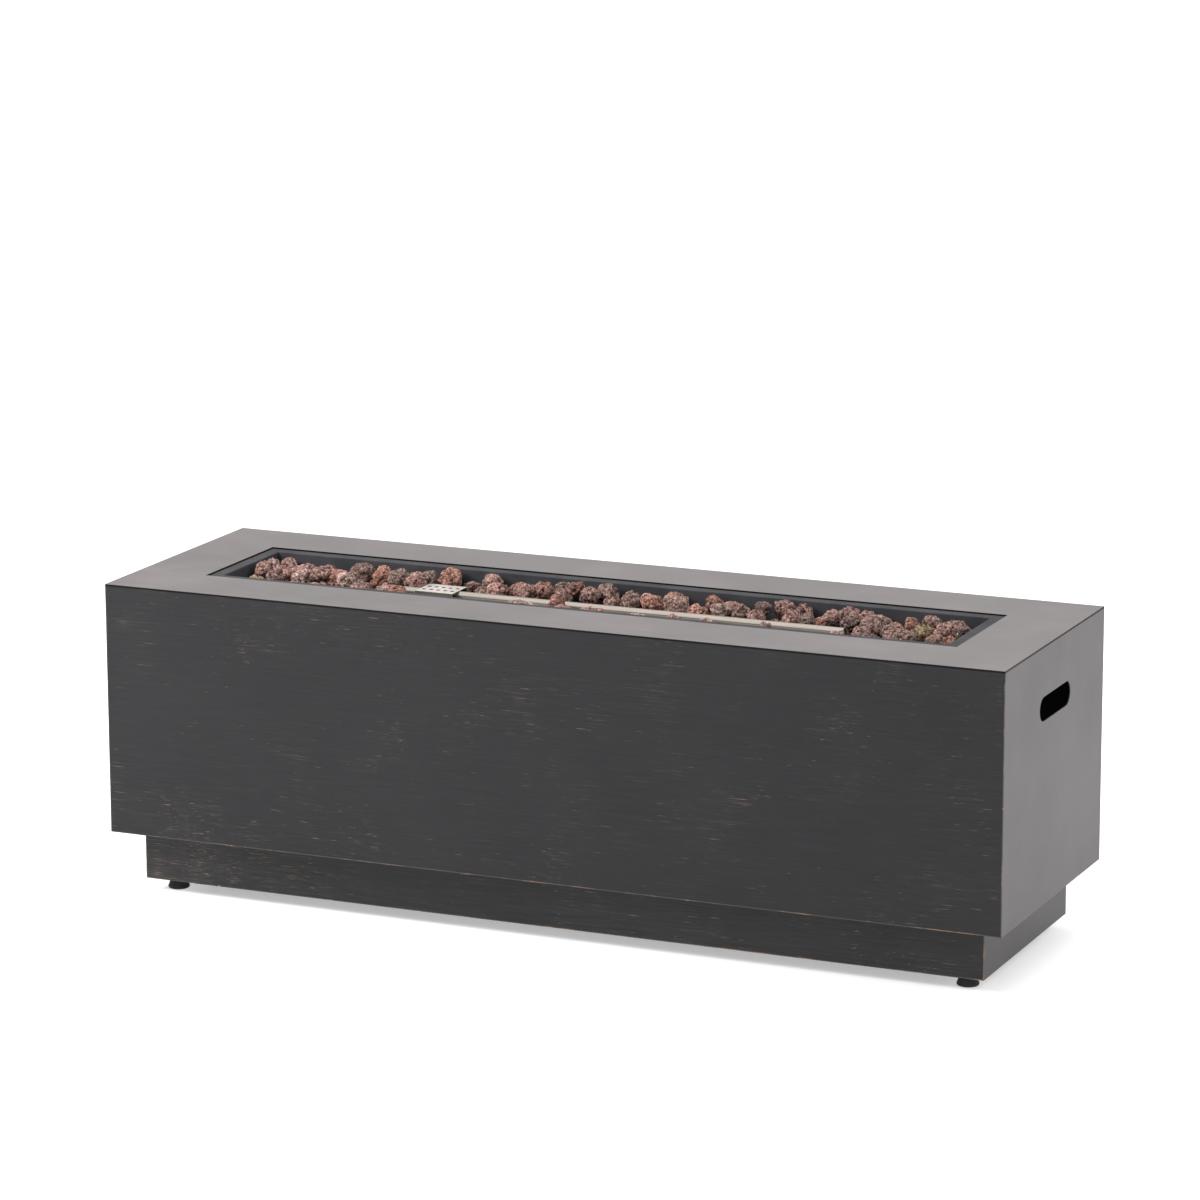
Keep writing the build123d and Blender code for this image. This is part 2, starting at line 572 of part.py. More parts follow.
def igniter_hood():
    """Perforated cover over the burner, with a front and a back wall down to the pan."""
    x0, x1, y = HOOD_X - HOOD_LENGTH / 2, HOOD_X + HOOD_LENGTH / 2, HOOD_DEPTH / 2
    hood = block(x0, x1, -y, y, HOOD_TOP - HOOD_SHEET, HOOD_TOP)
    walls = [block(x0, x1, s * y, s * (y - HOOD_SHEET), PAN_FLOOR, HOOD_TOP) for s in (-1, 1)]
    feet = [block(x0, x1, s * (y - HOOD_SHEET), s * (y + HOOD_FOOT), PAN_FLOOR, PAN_FLOOR + HOOD_SHEET)
            for s in (-1, 1)]
    holes = []
    for column, row in product(range(HOOD_HOLE_COLUMNS), range(HOOD_HOLE_ROWS)):
        hole_x = HOOD_X + (column - (HOOD_HOLE_COLUMNS - 1) / 2) * HOOD_HOLE_STEP_X
        hole_y = (row - (HOOD_HOLE_ROWS - 1) / 2) * HOOD_HOLE_STEP_Y
        start = (hole_x, hole_y, HOOD_TOP - 2 * HOOD_SHEET)
        holes.append(rod(HOOD_HOLE_RADIUS, start, Z_AXIS, 3 * HOOD_SHEET))
    holes += [rod(SCREW_RADIUS + RUNNING_GAP, (HOOD_X, s * HOOD_FOOT_Y, PAN_FLOOR), Z_AXIS, HOOD_SHEET)
              for s in (-1, 1)]
    return hood + walls + feet - holes


def pilot_bracket():
    """Small shelf beside the burner that holds the electrode and the thermocouple."""
    x, y = PILOT_SHELF_LENGTH / 2, PILOT_SHELF_DEPTH / 2
    y0, y1 = PILOT_Y - y, PILOT_Y + y
    shelf = block(HOOD_X - x, HOOD_X + x, y0, y1, PILOT_SHELF_TOP - PILOT_SHEET, PILOT_SHELF_TOP)
    legs = [block(HOOD_X + s * x, HOOD_X + s * (x - PILOT_SHEET), y0, y1, PAN_FLOOR, PILOT_SHELF_TOP)
            for s in (-1, 1)]
    low = PILOT_SHELF_TOP - 2 * PILOT_SHEET
    holes = [rod(radius + TOUCH_GAP, (hole_x, PILOT_Y, low), Z_AXIS, 3 * PILOT_SHEET)
             for radius, hole_x in ((CERAMIC_RADIUS, CERAMIC_X), (THERMOCOUPLE_RADIUS, THERMOCOUPLE_X))]
    return shelf + legs - holes


def electrode_ceramic():
    length = PILOT_SHELF_TOP + CERAMIC_ABOVE - PROBE_LOW
    return rod(CERAMIC_RADIUS, (CERAMIC_X, PILOT_Y, PROBE_LOW), Z_AXIS, length)


def electrode_pin():
    base = PILOT_SHELF_TOP + CERAMIC_ABOVE
    tip = base + ELECTRODE_RISE
    reach = PILOT_Y + ELECTRODE_REACH
    points = [(CERAMIC_X, PILOT_Y, base), (CERAMIC_X, PILOT_Y, tip), (CERAMIC_X, reach, tip)]
    return bent_rod(ELECTRODE_RADIUS, points, ELECTRODE_BEND)


def thermocouple():
    length = PILOT_SHELF_TOP + THERMOCOUPLE_ABOVE - PROBE_LOW
    tip = rod(THERMOCOUPLE_RADIUS, (THERMOCOUPLE_X, PILOT_Y, PROBE_LOW), Z_AXIS, length)
    return fillet(tip.edges().sort_by(Axis.Z)[-1], THERMOCOUPLE_RADIUS / 2)


def pan_screws():
    screws = []
    for x, y, lift in PAN_SCREWS:
        seat = PAN_FLOOR + lift
        shank = rod(SCREW_RADIUS, (x, y, seat), (0, 0, -1), SCREW_LENGTH)
        screws.append(shank + rod(SCREW_HEAD_RADIUS, (x, y, seat), Z_AXIS, SCREW_HEAD_HEIGHT))
    return Compound(screws)


# Gas path under the pan

def inlet_jam_nut():
    start = (TUBE_INLET_X, 0, PAN_UNDERSIDE)
    bore = rod(TUBE_RADIUS + TOUCH_GAP, start, (0, 0, -1), JAM_NUT_HEIGHT)
    return hexagon(JAM_NUT_FLATS, start, (0, 0, -1), JAM_NUT_HEIGHT) - bore


def mixer_fitting():
    """Brass mixing chamber on the burner's foot, with air holes and a gas nipple."""
    top = (TUBE_INLET_X, 0, MIXER_TOP)
    low = (TUBE_INLET_X, 0, MIXER_LOW)
    body = rod(MIXER_RADIUS, top, (0, 0, -1), MIXER_LENGTH)
    nipple = rod(NIPPLE_RADIUS, low, (0, 0, -1), NIPPLE_LENGTH)
    socket = rod(TUBE_RADIUS + TOUCH_GAP, top, (0, 0, -1), MIXER_TOP - TUBE_FOOT_Z + TOUCH_GAP)
    chamber = rod(MIXER_RADIUS - MIXER_WALL, top, (0, 0, -1), MIXER_LENGTH - MIXER_WALL)
    jet = rod(ELECTRODE_RADIUS, (TUBE_INLET_X, 0, NIPPLE_LOW), Z_AXIS, NIPPLE_LENGTH + 2 * MIXER_WALL)
    air_z = (MIXER_LOW + TUBE_FOOT_Z) / 2
    air = []
    for k in range(AIR_HOLE_COUNT):
        turn = 2 * math.pi * k / AIR_HOLE_COUNT
        air.append(rod(AIR_HOLE_RADIUS, (TUBE_INLET_X, 0, air_z), (math.cos(turn), math.sin(turn), 0),
                       2 * MIXER_RADIUS))
    return body + nipple - [socket, chamber, jet] - air


def gas_tube_ends():
    """Far points of the gas tube: under the mixer and behind the valve."""
    burner = (TUBE_INLET_X, 0, NIPPLE_LOW - TOUCH_GAP)
    valve = (VALVE_REAR + NIPPLE_LENGTH + TOUCH_GAP, KNOB_Y, CONTROL_HEIGHT)
    return burner, valve


def gas_tube():
    burner, valve = gas_tube_ends()
    turn = (TUBE_INLET_X, 0, CONTROL_HEIGHT)
    cross = (TUBE_INLET_X - GAS_TUBE_SWEEP, KNOB_Y, CONTROL_HEIGHT)
    return bent_rod(GAS_TUBE_RADIUS, [burner, turn, cross, valve], GAS_TUBE_BEND)


def gas_tube_nuts():
    """Union nuts at both ends: over the nipple, with a neck down to the tube."""
    burner, valve = gas_tube_ends()
    nuts = []
    for end, axis in ((burner, (0, 0, -1)), (valve, X_AXIS)):
        start = tuple(e - a * TUBE_NUT_HEIGHT / 2 for e, a in zip(end, axis))
        nut = hexagon(TUBE_NUT_FLATS, start, axis, TUBE_NUT_HEIGHT)
        socket = rod(NIPPLE_RADIUS + TOUCH_GAP, start, axis, TUBE_NUT_HEIGHT / 2)
        neck = rod(GAS_TUBE_RADIUS + TOUCH_GAP, start, axis, TUBE_NUT_HEIGHT)
        nuts.append(nut - [socket, neck])
    return Compound(nuts)


# Control dish, valve and knob

def control_dish():
    """Pressed dish in the left end: a flange outside, the controls on its floor."""
    flange = dish_outline(DISH_FLANGE, LEFT - DISH_SHEET, DISH_SHEET)
    dish = flange + dish_outline(0, LEFT, DISH_DEPTH + DISH_SHEET)
    dish -= dish_outline(-DISH_SHEET, LEFT - DISH_SHEET, DISH_DEPTH + DISH_SHEET)
    cuts = [rod(VALVE_BOSS_RADIUS + SEAT_GAP, (DISH_FLOOR, KNOB_Y, CONTROL_HEIGHT), X_AXIS, DISH_SHEET)]
    cuts.append(rod(IGNITER_RADIUS + SEAT_GAP, (DISH_FLOOR, IGNITER_Y, CONTROL_HEIGHT), X_AXIS, DISH_SHEET))
    cuts += screw_holes(DISH_SCREWS, LEFT - DISH_SHEET, DISH_SHEET)
    cuts += screw_holes(VALVE_SCREWS, DISH_FLOOR, DISH_SHEET)
    return dish - cuts


def face_screw(x, y, z):
    """Round-headed screw driven along +X, its head seated at x."""
    head = rod(SCREW_HEAD_RADIUS, (x, y, z), OUT_LEFT, SCREW_HEAD_HEIGHT)
    return head + rod(SCREW_RADIUS, (x, y, z), X_AXIS, SCREW_LENGTH)


def dish_screws():
    return Compound([face_screw(LEFT - DISH_SHEET, y, z) for y, z in DISH_SCREWS])


def valve_screws():
    return Compound([face_screw(DISH_FLOOR, y, z) for y, z in VALVE_SCREWS])


def gas_valve():
    """Valve body behind the dish: ears, boss, spring pocket, stem bore and ports."""
    half, tall = VALVE_SIZE / 2, VALVE_HEIGHT / 2
    y0, y1 = KNOB_Y - half, KNOB_Y + half
    ear = VALVE_EAR_SPREAD / 2 + 2 * SCREW_HEAD_RADIUS
    body = block(DISH_BACK, VALVE_REAR, y0, y1, CONTROL_HEIGHT - tall, CONTROL_HEIGHT + tall)
    body = fillet(body.edges().filter_by(Axis.X), BOLT_RADIUS)
    ear_back = DISH_BACK + VALVE_EAR_THICKNESS
    ears = block(DISH_BACK, ear_back, y0, y1, CONTROL_HEIGHT - ear, CONTROL_HEIGHT + ear)
    boss = rod(VALVE_BOSS_RADIUS, (BOSS_FRONT, KNOB_Y, CONTROL_HEIGHT), X_AXIS, ear_back - BOSS_FRONT)
    outlet = rod(NIPPLE_RADIUS, (VALVE_REAR, KNOB_Y, CONTROL_HEIGHT), X_AXIS, NIPPLE_LENGTH)
    pocket = rod(SPRING_POCKET_RADIUS, (BOSS_FRONT, KNOB_Y, CONTROL_HEIGHT), X_AXIS, SPRING_POCKET_DEPTH)
    bore_end = STEM_LENGTH_IN_VALVE + PUSH_TRAVEL + SEAT_GAP
    bore = rod(STEM_RADIUS + RUNNING_GAP, (BOSS_FRONT, KNOB_Y, CONTROL_HEIGHT), X_AXIS, bore_end)
    return body + [ears, boss, outlet] - [pocket, bore] - screw_holes(VALVE_SCREWS, DISH_BACK, SCREW_LENGTH)


def inlet_fitting():
    """Flared gas inlet under the valve, for the supply hose's swivel nut."""
    top = (DISH_BACK + VALVE_DEPTH / 2, KNOB_Y, CONTROL_HEIGHT - VALVE_HEIGHT / 2)
    collar = hexagon(INLET_HEX_FLATS, top, (0, 0, -1), INLET_HEX_HEIGHT)
    stem_top = (top[0], top[1], top[2] - INLET_HEX_HEIGHT)
    bore = rod(INLET_RADIUS / 2, top, (0, 0, -1), INLET_HEX_HEIGHT + INLET_LENGTH)
    return collar + rod(INLET_RADIUS, stem_top, (0, 0, -1), INLET_LENGTH) - bore


def valve_stem():
    start = KNOB_BACK - KNOB_SOCKET + TOUCH_GAP
    length = BOSS_FRONT + STEM_LENGTH_IN_VALVE - start
    stem = rod(STEM_RADIUS, (start, KNOB_Y, CONTROL_HEIGHT), X_AXIS, length)
    collar_x = WASHER_FRONT - TOUCH_GAP - STEM_COLLAR
    return stem + rod(STEM_COLLAR_RADIUS, (collar_x, KNOB_Y, CONTROL_HEIGHT), X_AXIS, STEM_COLLAR)


def thrust_washer():
    start = (WASHER_FRONT, KNOB_Y, CONTROL_HEIGHT)
    return pipe(WASHER_RADIUS, STEM_RADIUS + RUNNING_GAP, start, X_AXIS, WASHER_THICKNESS)


def stem_spring():
    start = WASHER_FRONT + WASHER_THICKNESS + TOUCH_GAP
    spring = coil_spring(STEM_SPRING_RADIUS, STEM_SPRING_WIRE, STEM_SPRING_TURNS, start,
                         SPRING_SEAT - TOUCH_GAP - start)
    return Pos(0, KNOB_Y, CONTROL_HEIGHT) * spring


def control_knob():
    """Round skirt with a straight finger grip and a pointer groove along it."""
    centre = (KNOB_BACK, KNOB_Y, CONTROL_HEIGHT)
    skirt = rod(KNOB_RADIUS, centre, OUT_LEFT, KNOB_SKIRT)
    skirt = fillet(skirt.edges().sort_by(Axis.X)[0], KNOB_EDGE_ROUND)
    half = KNOB_GRIP_WIDTH / 2
    bar = block(KNOB_BACK - KNOB_SKIRT / 2, KNOB_FRONT, KNOB_Y - half, KNOB_Y + half,
                CONTROL_HEIGHT - KNOB_RADIUS, CONTROL_HEIGHT + KNOB_RADIUS)
    grip = bar & rod(KNOB_RADIUS - KNOB_EDGE_ROUND, centre, OUT_LEFT, KNOB_HEIGHT)
    grip = fillet(grip.faces().sort_by(Axis.X)[0].edges(), KNOB_EDGE_ROUND)
    mark = block(KNOB_FRONT, KNOB_FRONT + KNOB_MARK_DEPTH, KNOB_Y - KNOB_MARK_WIDTH / 2,
                 KNOB_Y + KNOB_MARK_WIDTH / 2, CONTROL_HEIGHT, CONTROL_HEIGHT + KNOB_RADIUS)
    return skirt + grip - [mark, rod(STEM_RADIUS + TOUCH_GAP / 2, centre, OUT_LEFT, KNOB_SOCKET)]


# Battery igniter

def igniter_axis(x):
    return (x, IGNITER_Y, CONTROL_HEIGHT)


def igniter_body():
    barrel = rod(IGNITER_RADIUS, igniter_axis(DISH_FLOOR), X_AXIS, IGNITER_LENGTH)
    flange = rod(IGNITER_FLANGE_RADIUS, igniter_axis(DISH_FLOOR), OUT_LEFT, IGNITER_FLANGE)
    neck = rod(IGNITER_NECK_RADIUS, igniter_axis(NECK_FRONT), X_AXIS, IGNITER_NECK + IGNITER_FLANGE)
    bore_length = BATTERY_REAR - NECK_FRONT + TOUCH_GAP
    bore = rod(BATTERY_RADIUS + SEAT_GAP, igniter_axis(NECK_FRONT), X_AXIS, bore_length)
    return barrel + [flange, neck] - bore


def igniter_nut():
    start = igniter_axis(DISH_BACK)
    bore = rod(IGNITER_RADIUS + TOUCH_GAP, start, X_AXIS, IGNITER_NUT_HEIGHT)
    return hexagon(IGNITER_NUT_FLATS, start, X_AXIS, IGNITER_NUT_HEIGHT) - bore


def igniter_cap():
    cap = rod(CAP_RADIUS, igniter_axis(CAP_FRONT), X_AXIS, CAP_BACK - CAP_FRONT)
    cap = fillet(cap.edges().sort_by(Axis.X)[0], KNOB_EDGE_ROUND)
    socket = rod(IGNITER_NECK_RADIUS + RUNNING_GAP, igniter_axis(CAP_INSIDE), X_AXIS, CAP_BACK - CAP_INSIDE)
    return cap - [socket, rod(BUTTON_RADIUS + RUNNING_GAP, igniter_axis(CAP_FRONT), X_AXIS, CAP_WALL)]


def igniter_button():
    back = CAP_INSIDE + TOUCH_GAP
    front = CAP_FRONT - BUTTON_PROUD
    button = rod(BUTTON_RADIUS, igniter_axis(front), X_AXIS, back - front)
    button = fillet(button.edges().sort_by(Axis.X)[0], KNOB_EDGE_ROUND)
    return button + rod(BUTTON_FLANGE_RADIUS, igniter_axis(back), X_AXIS, BUTTON_FLANGE)


def igniter_spring():
    start = CAP_INSIDE + BUTTON_FLANGE + 2 * TOUCH_GAP
    spring = coil_spring(CONTACT_SPRING_RADIUS, CONTACT_SPRING_WIRE, CONTACT_SPRING_TURNS, start,
                         BATTERY_FRONT - TOUCH_GAP - start)
    return Pos(0, IGNITER_Y, CONTROL_HEIGHT) * spring


def battery_cell():
    can = rod(BATTERY_RADIUS, igniter_axis(BATTERY_FRONT + BATTERY_NUB), X_AXIS, BATTERY_LENGTH - BATTERY_NUB)
    return can + rod(BATTERY_NUB_RADIUS, igniter_axis(BATTERY_FRONT), X_AXIS, BATTERY_NUB)


def igniter_lead():
    """Spark lead from the igniter, behind the gas tube, up to the electrode."""
    start = igniter_axis(IGNITER_REAR)
    level = (start[0] + 4 * LEAD_BEND, IGNITER_Y, CONTROL_HEIGHT)
    rise = (CERAMIC_X, IGNITER_Y, PROBE_LOW - 4 * LEAD_BEND)
    under = (CERAMIC_X, PILOT_Y, PROBE_LOW - 3 * LEAD_BEND)
    return bent_rod(LEAD_RADIUS, [start, level, rise, under, (CERAMIC_X, PILOT_Y, PROBE_LOW)], LEAD_BEND)


def thermocouple_lead():
    """Capillary from the valve's safety magnet, in front of the gas tube, to the probe."""
    start = (VALVE_REAR, KNOB_Y, CONTROL_HEIGHT + THERMO_PORT_ABOVE)
    front_y = 2 * KNOB_Y
    level = (VALVE_REAR + 3 * LEAD_BEND, KNOB_Y, CONTROL_HEIGHT + THERMO_PORT_ABOVE)
    away = (VALVE_REAR + 6 * LEAD_BEND, front_y, CONTROL_HEIGHT + THERMO_PORT_ABOVE)
    rise = (THERMOCOUPLE_X, front_y, PROBE_LOW - 4 * LEAD_BEND)
    under = (THERMOCOUPLE_X, PILOT_Y, PROBE_LOW - 3 * LEAD_BEND)
    points = [start, level, away, rise, under, (THERMOCOUPLE_X, PILOT_Y, PROBE_LOW)]
    return bent_rod(CAPILLARY_RADIUS, points, LEAD_BEND)


# Bolts and nuts of the case

def top_nuts():
    seat = Z_TOP - 2 * SHEET
    nuts = []
    for x, y in TOP_STUDS:
        bore = rod(BOLT_RADIUS + TOUCH_GAP, (x, y, seat), (0, 0, -1), NUT_HEIGHT)
        nuts.append(hexagon(BOLT_HEAD_FLATS, (x, y, seat), (0, 0, -1), NUT_HEIGHT) - bore)
    return Compound(nuts)


def plinth_bolts():
    seat = Z_BODY + SHEET
    length = 2 * SHEET + NUT_HEIGHT + BOLT_END
    bolts = []
    for x, y in PLINTH_BOLTS:
        head = hexagon(BOLT_HEAD_FLATS, (x, y, seat), Z_AXIS, BOLT_HEAD_HEIGHT)
        bolts.append(head + rod(BOLT_RADIUS, (x, y, seat), (0, 0, -1), length))
    return Compound(bolts)


def plinth_nuts():
    seat = Z_BODY - SHEET
    nuts = []
    for x, y in PLINTH_BOLTS:
        bore = rod(BOLT_RADIUS + TOUCH_GAP, (x, y, seat), (0, 0, -1), NUT_HEIGHT)
        nuts.append(hexagon(BOLT_HEAD_FLATS, (x, y, seat), (0, 0, -1), NUT_HEIGHT) - bore)
    return Compound(nuts)


# Lava rock, poured in one by one: each rock sinks until it touches the pan floor or a rock under it

GOLDEN = (1 + math.sqrt(5)) / 2
CORNER_STEP = 2.1
CORNERS = [(0, a, b * GOLDEN) for a in (-1, 1) for b in (-1, 1)]
CORNERS += [(y, z, x) for x, y, z in CORNERS[:4]] + [(z, x, y) for x, y, z in CORNERS[:4]]
EDGES = [(i, j) for i, j in combinations(range(len(CORNERS)), 2)
         if math.dist(CORNERS[i], CORNERS[j]) < CORNER_STEP]
FACES = [f for f in combinations(range(len(CORNERS)), 3) if all(pair in EDGES for pair in combinations(f, 2))]
ROUND_OFF = 1e-6


class Rock:
    """Convex rock: its corners, its edges in plan and its faces as planes."""

    def __init__(self, corners):
        self.corners = corners
        self.low, self.high = corners.min(axis=0), corners.max(axis=0)
        first, second = (corners[list(ends), :2] for ends in zip(*EDGES))
        self.edge_start, self.edge_run = first, second - first
        a, b, c = (corners[list(ends)] for ends in zip(*FACES))
        normal = np.cross(b - a, c - a)
        outward = np.sign(np.sum(normal * (a - corners.mean(axis=0)), axis=1))
        self.normal = normal * outward[:, None]
        self.offset = np.sum(self.normal * a, axis=1)

    def span(self, spots):
        """Lowest and highest level of the rock over each spot in plan."""
        level = (self.offset - spots @ self.normal[:, :2].T) / self.normal[:, 2]
        upper = self.normal[:, 2] > 0
        return level[:, ~upper].max(axis=1), level[:, upper].min(axis=1)

    def solid(self):
        points = [Vector(*corner) for corner in self.corners.tolist()]
        return Solid(Shell([Face(Wire.make_polygon([points[i] for i in face])) for face in FACES]))


def chance_corners(chance):
    """Corners of a skewed icosahedron stretched to an uneven box, with the box's lowest corner at nought."""
    lean = [chance.uniform(-ROCK_UNEVEN, ROCK_UNEVEN) for axis in range(3)]
    spin = Rotation(*[chance.uniform(0, 360) for axis in range(3)])
    points = []
    for corner in CORNERS:
        p = tuple((spin * Pos(*corner)).position)
        shrink = 1 + sum(k * c for k, c in zip(lean, p)) / 2
        points.append([c / shrink for c in p])
    size = chance.uniform(ROCK_SMALLEST, ROCK_LARGEST)
    box = [size * chance.uniform(*share) for share in (ROCK_WIDTHS, ROCK_WIDTHS, ROCK_HEIGHTS)]
    points = np.array(points) - np.min(points, axis=0)
    return points / points.max(axis=0) * box


def edge_crossings(one, other):
    """Spots in plan where the edges of two rocks cross."""
    start, run = one.edge_start[:, None], one.edge_run[:, None]
    apart, other_run = other.edge_start[None] - start, other.edge_run[None]
    turn = run[..., 0] * other_run[..., 1] - run[..., 1] * other_run[..., 0]
    along = (apart[..., 0] * other_run[..., 1] - apart[..., 1] * other_run[..., 0]) / turn
    along_other = (apart[..., 0] * run[..., 1] - apart[..., 1] * run[..., 0]) / turn
    meet = (along > 0) & (along < 1) & (along_other > 0) & (along_other < 1)
    return (start + along[..., None] * run)[meet]


def room_under(rock, other):
    """How far a rock can sink before it touches one below it."""
    spots = np.concatenate([rock.corners[:, :2], other.corners[:, :2], edge_crossings(rock, other)])
    low, high = rock.span(spots)
    floor, top = other.span(spots)
    shared = (low <= high + ROUND_OFF) & (floor <= top + ROUND_OFF)
    return np.min((low - top)[shared], initial=math.inf)


def settled(corners, bed):
    """The rock with these corners, sunk onto the pan floor or the bed."""
    rock = Rock(corners)
    room = rock.low[2] - PAN_FLOOR
    for other in bed:
        if np.all(rock.low[:2] < other.high[:2]) and np.all(rock.high[:2] > other.low[:2]):
            room = min(room, room_under(rock, other))
    return Rock(corners - (0, 0, room - TOUCH_GAP))


def clear_of_burner(low, high):
    """Whether a box in plan keeps off the burner, its saddles and the hood."""
    tube = (TUBE_INLET_X - TUBE_RADIUS, TUBE_END_X + PLUG_FLANGE, SADDLE_HALF_WIDTH)
    hood = (HOOD_X - HOOD_LENGTH / 2, HOOD_X + HOOD_LENGTH / 2, HOOD_DEPTH / 2 + HOOD_FOOT)
    return all(high[0] < start - ROCK_GAP or low[0] > end + ROCK_GAP or low[1] > half + ROCK_GAP
               or high[1] < -half - ROCK_GAP for start, end, half in (tube, hood))


def pour_rocks(bed, count, near, far, depth, chance):
    """Adds rocks from near to far, each at the lowest of a few places, unless that is above the depth."""
    for number in range(count):
        corners = chance_corners(chance)
        size = corners.max(axis=0)
        places = []
        for turn in range(ROCK_TRIES):
            low = np.array([chance.uniform(-PAN_X + ROCK_GAP, PAN_X - ROCK_GAP - size[0]),
                            chance.uniform(near + ROCK_GAP, far - ROCK_GAP - size[1]), Z_TOP])
            if clear_of_burner(low, low + size):
                places.append(settled(corners + low, bed))
        lowest = min(places, key=lambda rock: rock.high[2], default=None)
        if lowest and lowest.high[2] < PAN_FLOOR + depth:
            bed.append(lowest)


def lava_rocks():
    chance = random.Random(ROCK_SEED)
    bed = []
    pour_rocks(bed, ROCKS_AT_BACK, -SADDLE_HALF_WIDTH, PAN_Y, BED_DEPTH_AT_BACK, chance)
    pour_rocks(bed, ROCKS_AT_FRONT, -PAN_Y, SADDLE_HALF_WIDTH, BED_DEPTH_AT_FRONT, chance)
    return Compound([rock.solid() for rock in bed])


def write_parts():
    parts = {
        "top_panel": top_panel(),
        "front_panel": long_panel(-1),
        "back_panel": long_panel(1),
        "left_end_panel": end_panel(-1),
        "right_end_panel": end_panel(1),
        "plinth_front": plinth_long(-1),
        "plinth_back": plinth_long(1),
        "plinth_left": plinth_end(-1),
        "plinth_right": plinth_end(1),
        "hose_grommet": hose_grommet(),
        "foot_weld_nuts": foot_weld_nuts(),
        "top_nuts": top_nuts(),
        "plinth_bolts": plinth_bolts(),
        "plinth_nuts": plinth_nuts(),
        "burner_pan": burner_pan(),
        "burner_tube": burner_tube(),
        "burner_end_plug": burner_end_plug(),
        "igniter_hood": igniter_hood(),
        "pilot_bracket": pilot_bracket(),
        "electrode_ceramic": electrode_ceramic(),
        "electrode_pin": electrode_pin(),
        "thermocouple": thermocouple(),
        "pan_screws": pan_screws(),
        "inlet_jam_nut": inlet_jam_nut(),
        "mixer_fitting": mixer_fitting(),
        "gas_tube": gas_tube(),
        "gas_tube_nuts": gas_tube_nuts(),
        "control_dish": control_dish(),
        "dish_screws": dish_screws(),
        "valve_screws": valve_screws(),
        "gas_valve": gas_valve(),
        "inlet_fitting": inlet_fitting(),
        "valve_stem": valve_stem(),
        "thrust_washer": thrust_washer(),
        "stem_spring": stem_spring(),
        "control_knob": control_knob(),
        "igniter_body": igniter_body(),
        "igniter_nut": igniter_nut(),
        "igniter_cap": igniter_cap(),
        "igniter_button": igniter_button(),
        "igniter_spring": igniter_spring(),
        "battery_cell": battery_cell(),
        "igniter_lead": igniter_lead(),
        "thermocouple_lead": thermocouple_lead(),
        "lava_rocks": lava_rocks(),
    }
    for number, x in enumerate(SADDLE_X, 1):
        parts[f"burner_saddle_{number}"] = burner_saddle(x)
    for corner in FEET:
        parts[f"foot_bracket_{corner}"] = foot_bracket(corner)
        parts[f"foot_pad_{corner}"] = foot_pad(corner)
        parts[f"foot_stud_{corner}"] = foot_stud(corner)
    os.makedirs("parts", exist_ok=True)
    for name, shape in parts.items():
        export_step(shape, f"parts/{name}.step")


write_parts()
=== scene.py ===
import math
import random

import bmesh
import bpy
import numpy as np
from mathutils import Matrix, Vector, noise


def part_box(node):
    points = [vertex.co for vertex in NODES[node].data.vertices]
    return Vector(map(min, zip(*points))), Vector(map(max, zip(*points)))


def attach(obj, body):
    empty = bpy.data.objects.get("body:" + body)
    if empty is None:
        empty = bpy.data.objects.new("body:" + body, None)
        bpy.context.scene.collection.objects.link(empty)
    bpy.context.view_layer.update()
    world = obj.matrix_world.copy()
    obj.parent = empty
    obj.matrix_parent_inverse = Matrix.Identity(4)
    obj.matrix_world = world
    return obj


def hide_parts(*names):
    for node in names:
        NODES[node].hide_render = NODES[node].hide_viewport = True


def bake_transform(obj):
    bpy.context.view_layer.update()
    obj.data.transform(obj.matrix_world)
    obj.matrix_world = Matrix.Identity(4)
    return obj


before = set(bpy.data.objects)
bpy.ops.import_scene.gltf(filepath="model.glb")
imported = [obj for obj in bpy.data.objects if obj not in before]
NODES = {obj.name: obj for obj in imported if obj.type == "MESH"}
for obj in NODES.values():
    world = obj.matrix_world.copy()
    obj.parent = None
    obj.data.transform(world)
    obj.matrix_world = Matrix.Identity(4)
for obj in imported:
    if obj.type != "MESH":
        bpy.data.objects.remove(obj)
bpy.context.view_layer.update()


def box_round(*names):
    """Centre and half size of the box round some nodes, in metres."""
    lows, highs = zip(*(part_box(name) for name in names))
    low, high = np.min(lows, axis=0), np.max(highs, axis=0)
    return tuple((low + high) / 2), tuple((high - low) / 2)


# Places and sizes, in metres

# The case and the plinth as boxes, for wear that follows their edges
CASE_CENTRE, CASE_HALF = box_round("front_panel", "back_panel", "top_panel")
PLINTH_CENTRE, PLINTH_HALF = box_round("plinth_front", "plinth_back")
CASE_TOP = CASE_CENTRE[2] + CASE_HALF[2]
# The painted shadow of the gap under the top sheet, and the stretch below it whose edges are not worn
SEAM_SHADOW_LOW, SEAM_SHADOW_HIGH = CASE_TOP - 0.0045, CASE_TOP - 0.0020
SHELTER_LOW, SHELTER_HIGH = CASE_TOP - 0.027, CASE_TOP - 0.012
# The finish is rubbed most towards the floor, and there towards the left corner
WORN_LOW, WORN_HIGH = 0.03, 0.24
WORN_LEFT, WORN_MIDDLE = -0.64, -0.25
# Bronze along the edges: width of the line, where it has faded out, and the reach of the chips
EDGE_LINE, EDGE_FADE, CHIP_REACH = 0.0007, 0.0018, 0.0035
# The soot under the igniter hood stops short of the hood's ends
HOOD_CENTRE, HOOD_HALF = box_round("igniter_hood")
SOOT_REACH, SOOT_FADE = HOOD_HALF[0] - 0.005, 0.008
# The burner tube's rolled seam, above the tube's axis
TUBE_AXIS = box_round("burner_end_plug")[0][2]
TUBE_SEAM_LOW, TUBE_SEAM_HIGH, TUBE_SEAM_FADE = TUBE_AXIS + 0.0037, TUBE_AXIS + 0.0047, 0.0004
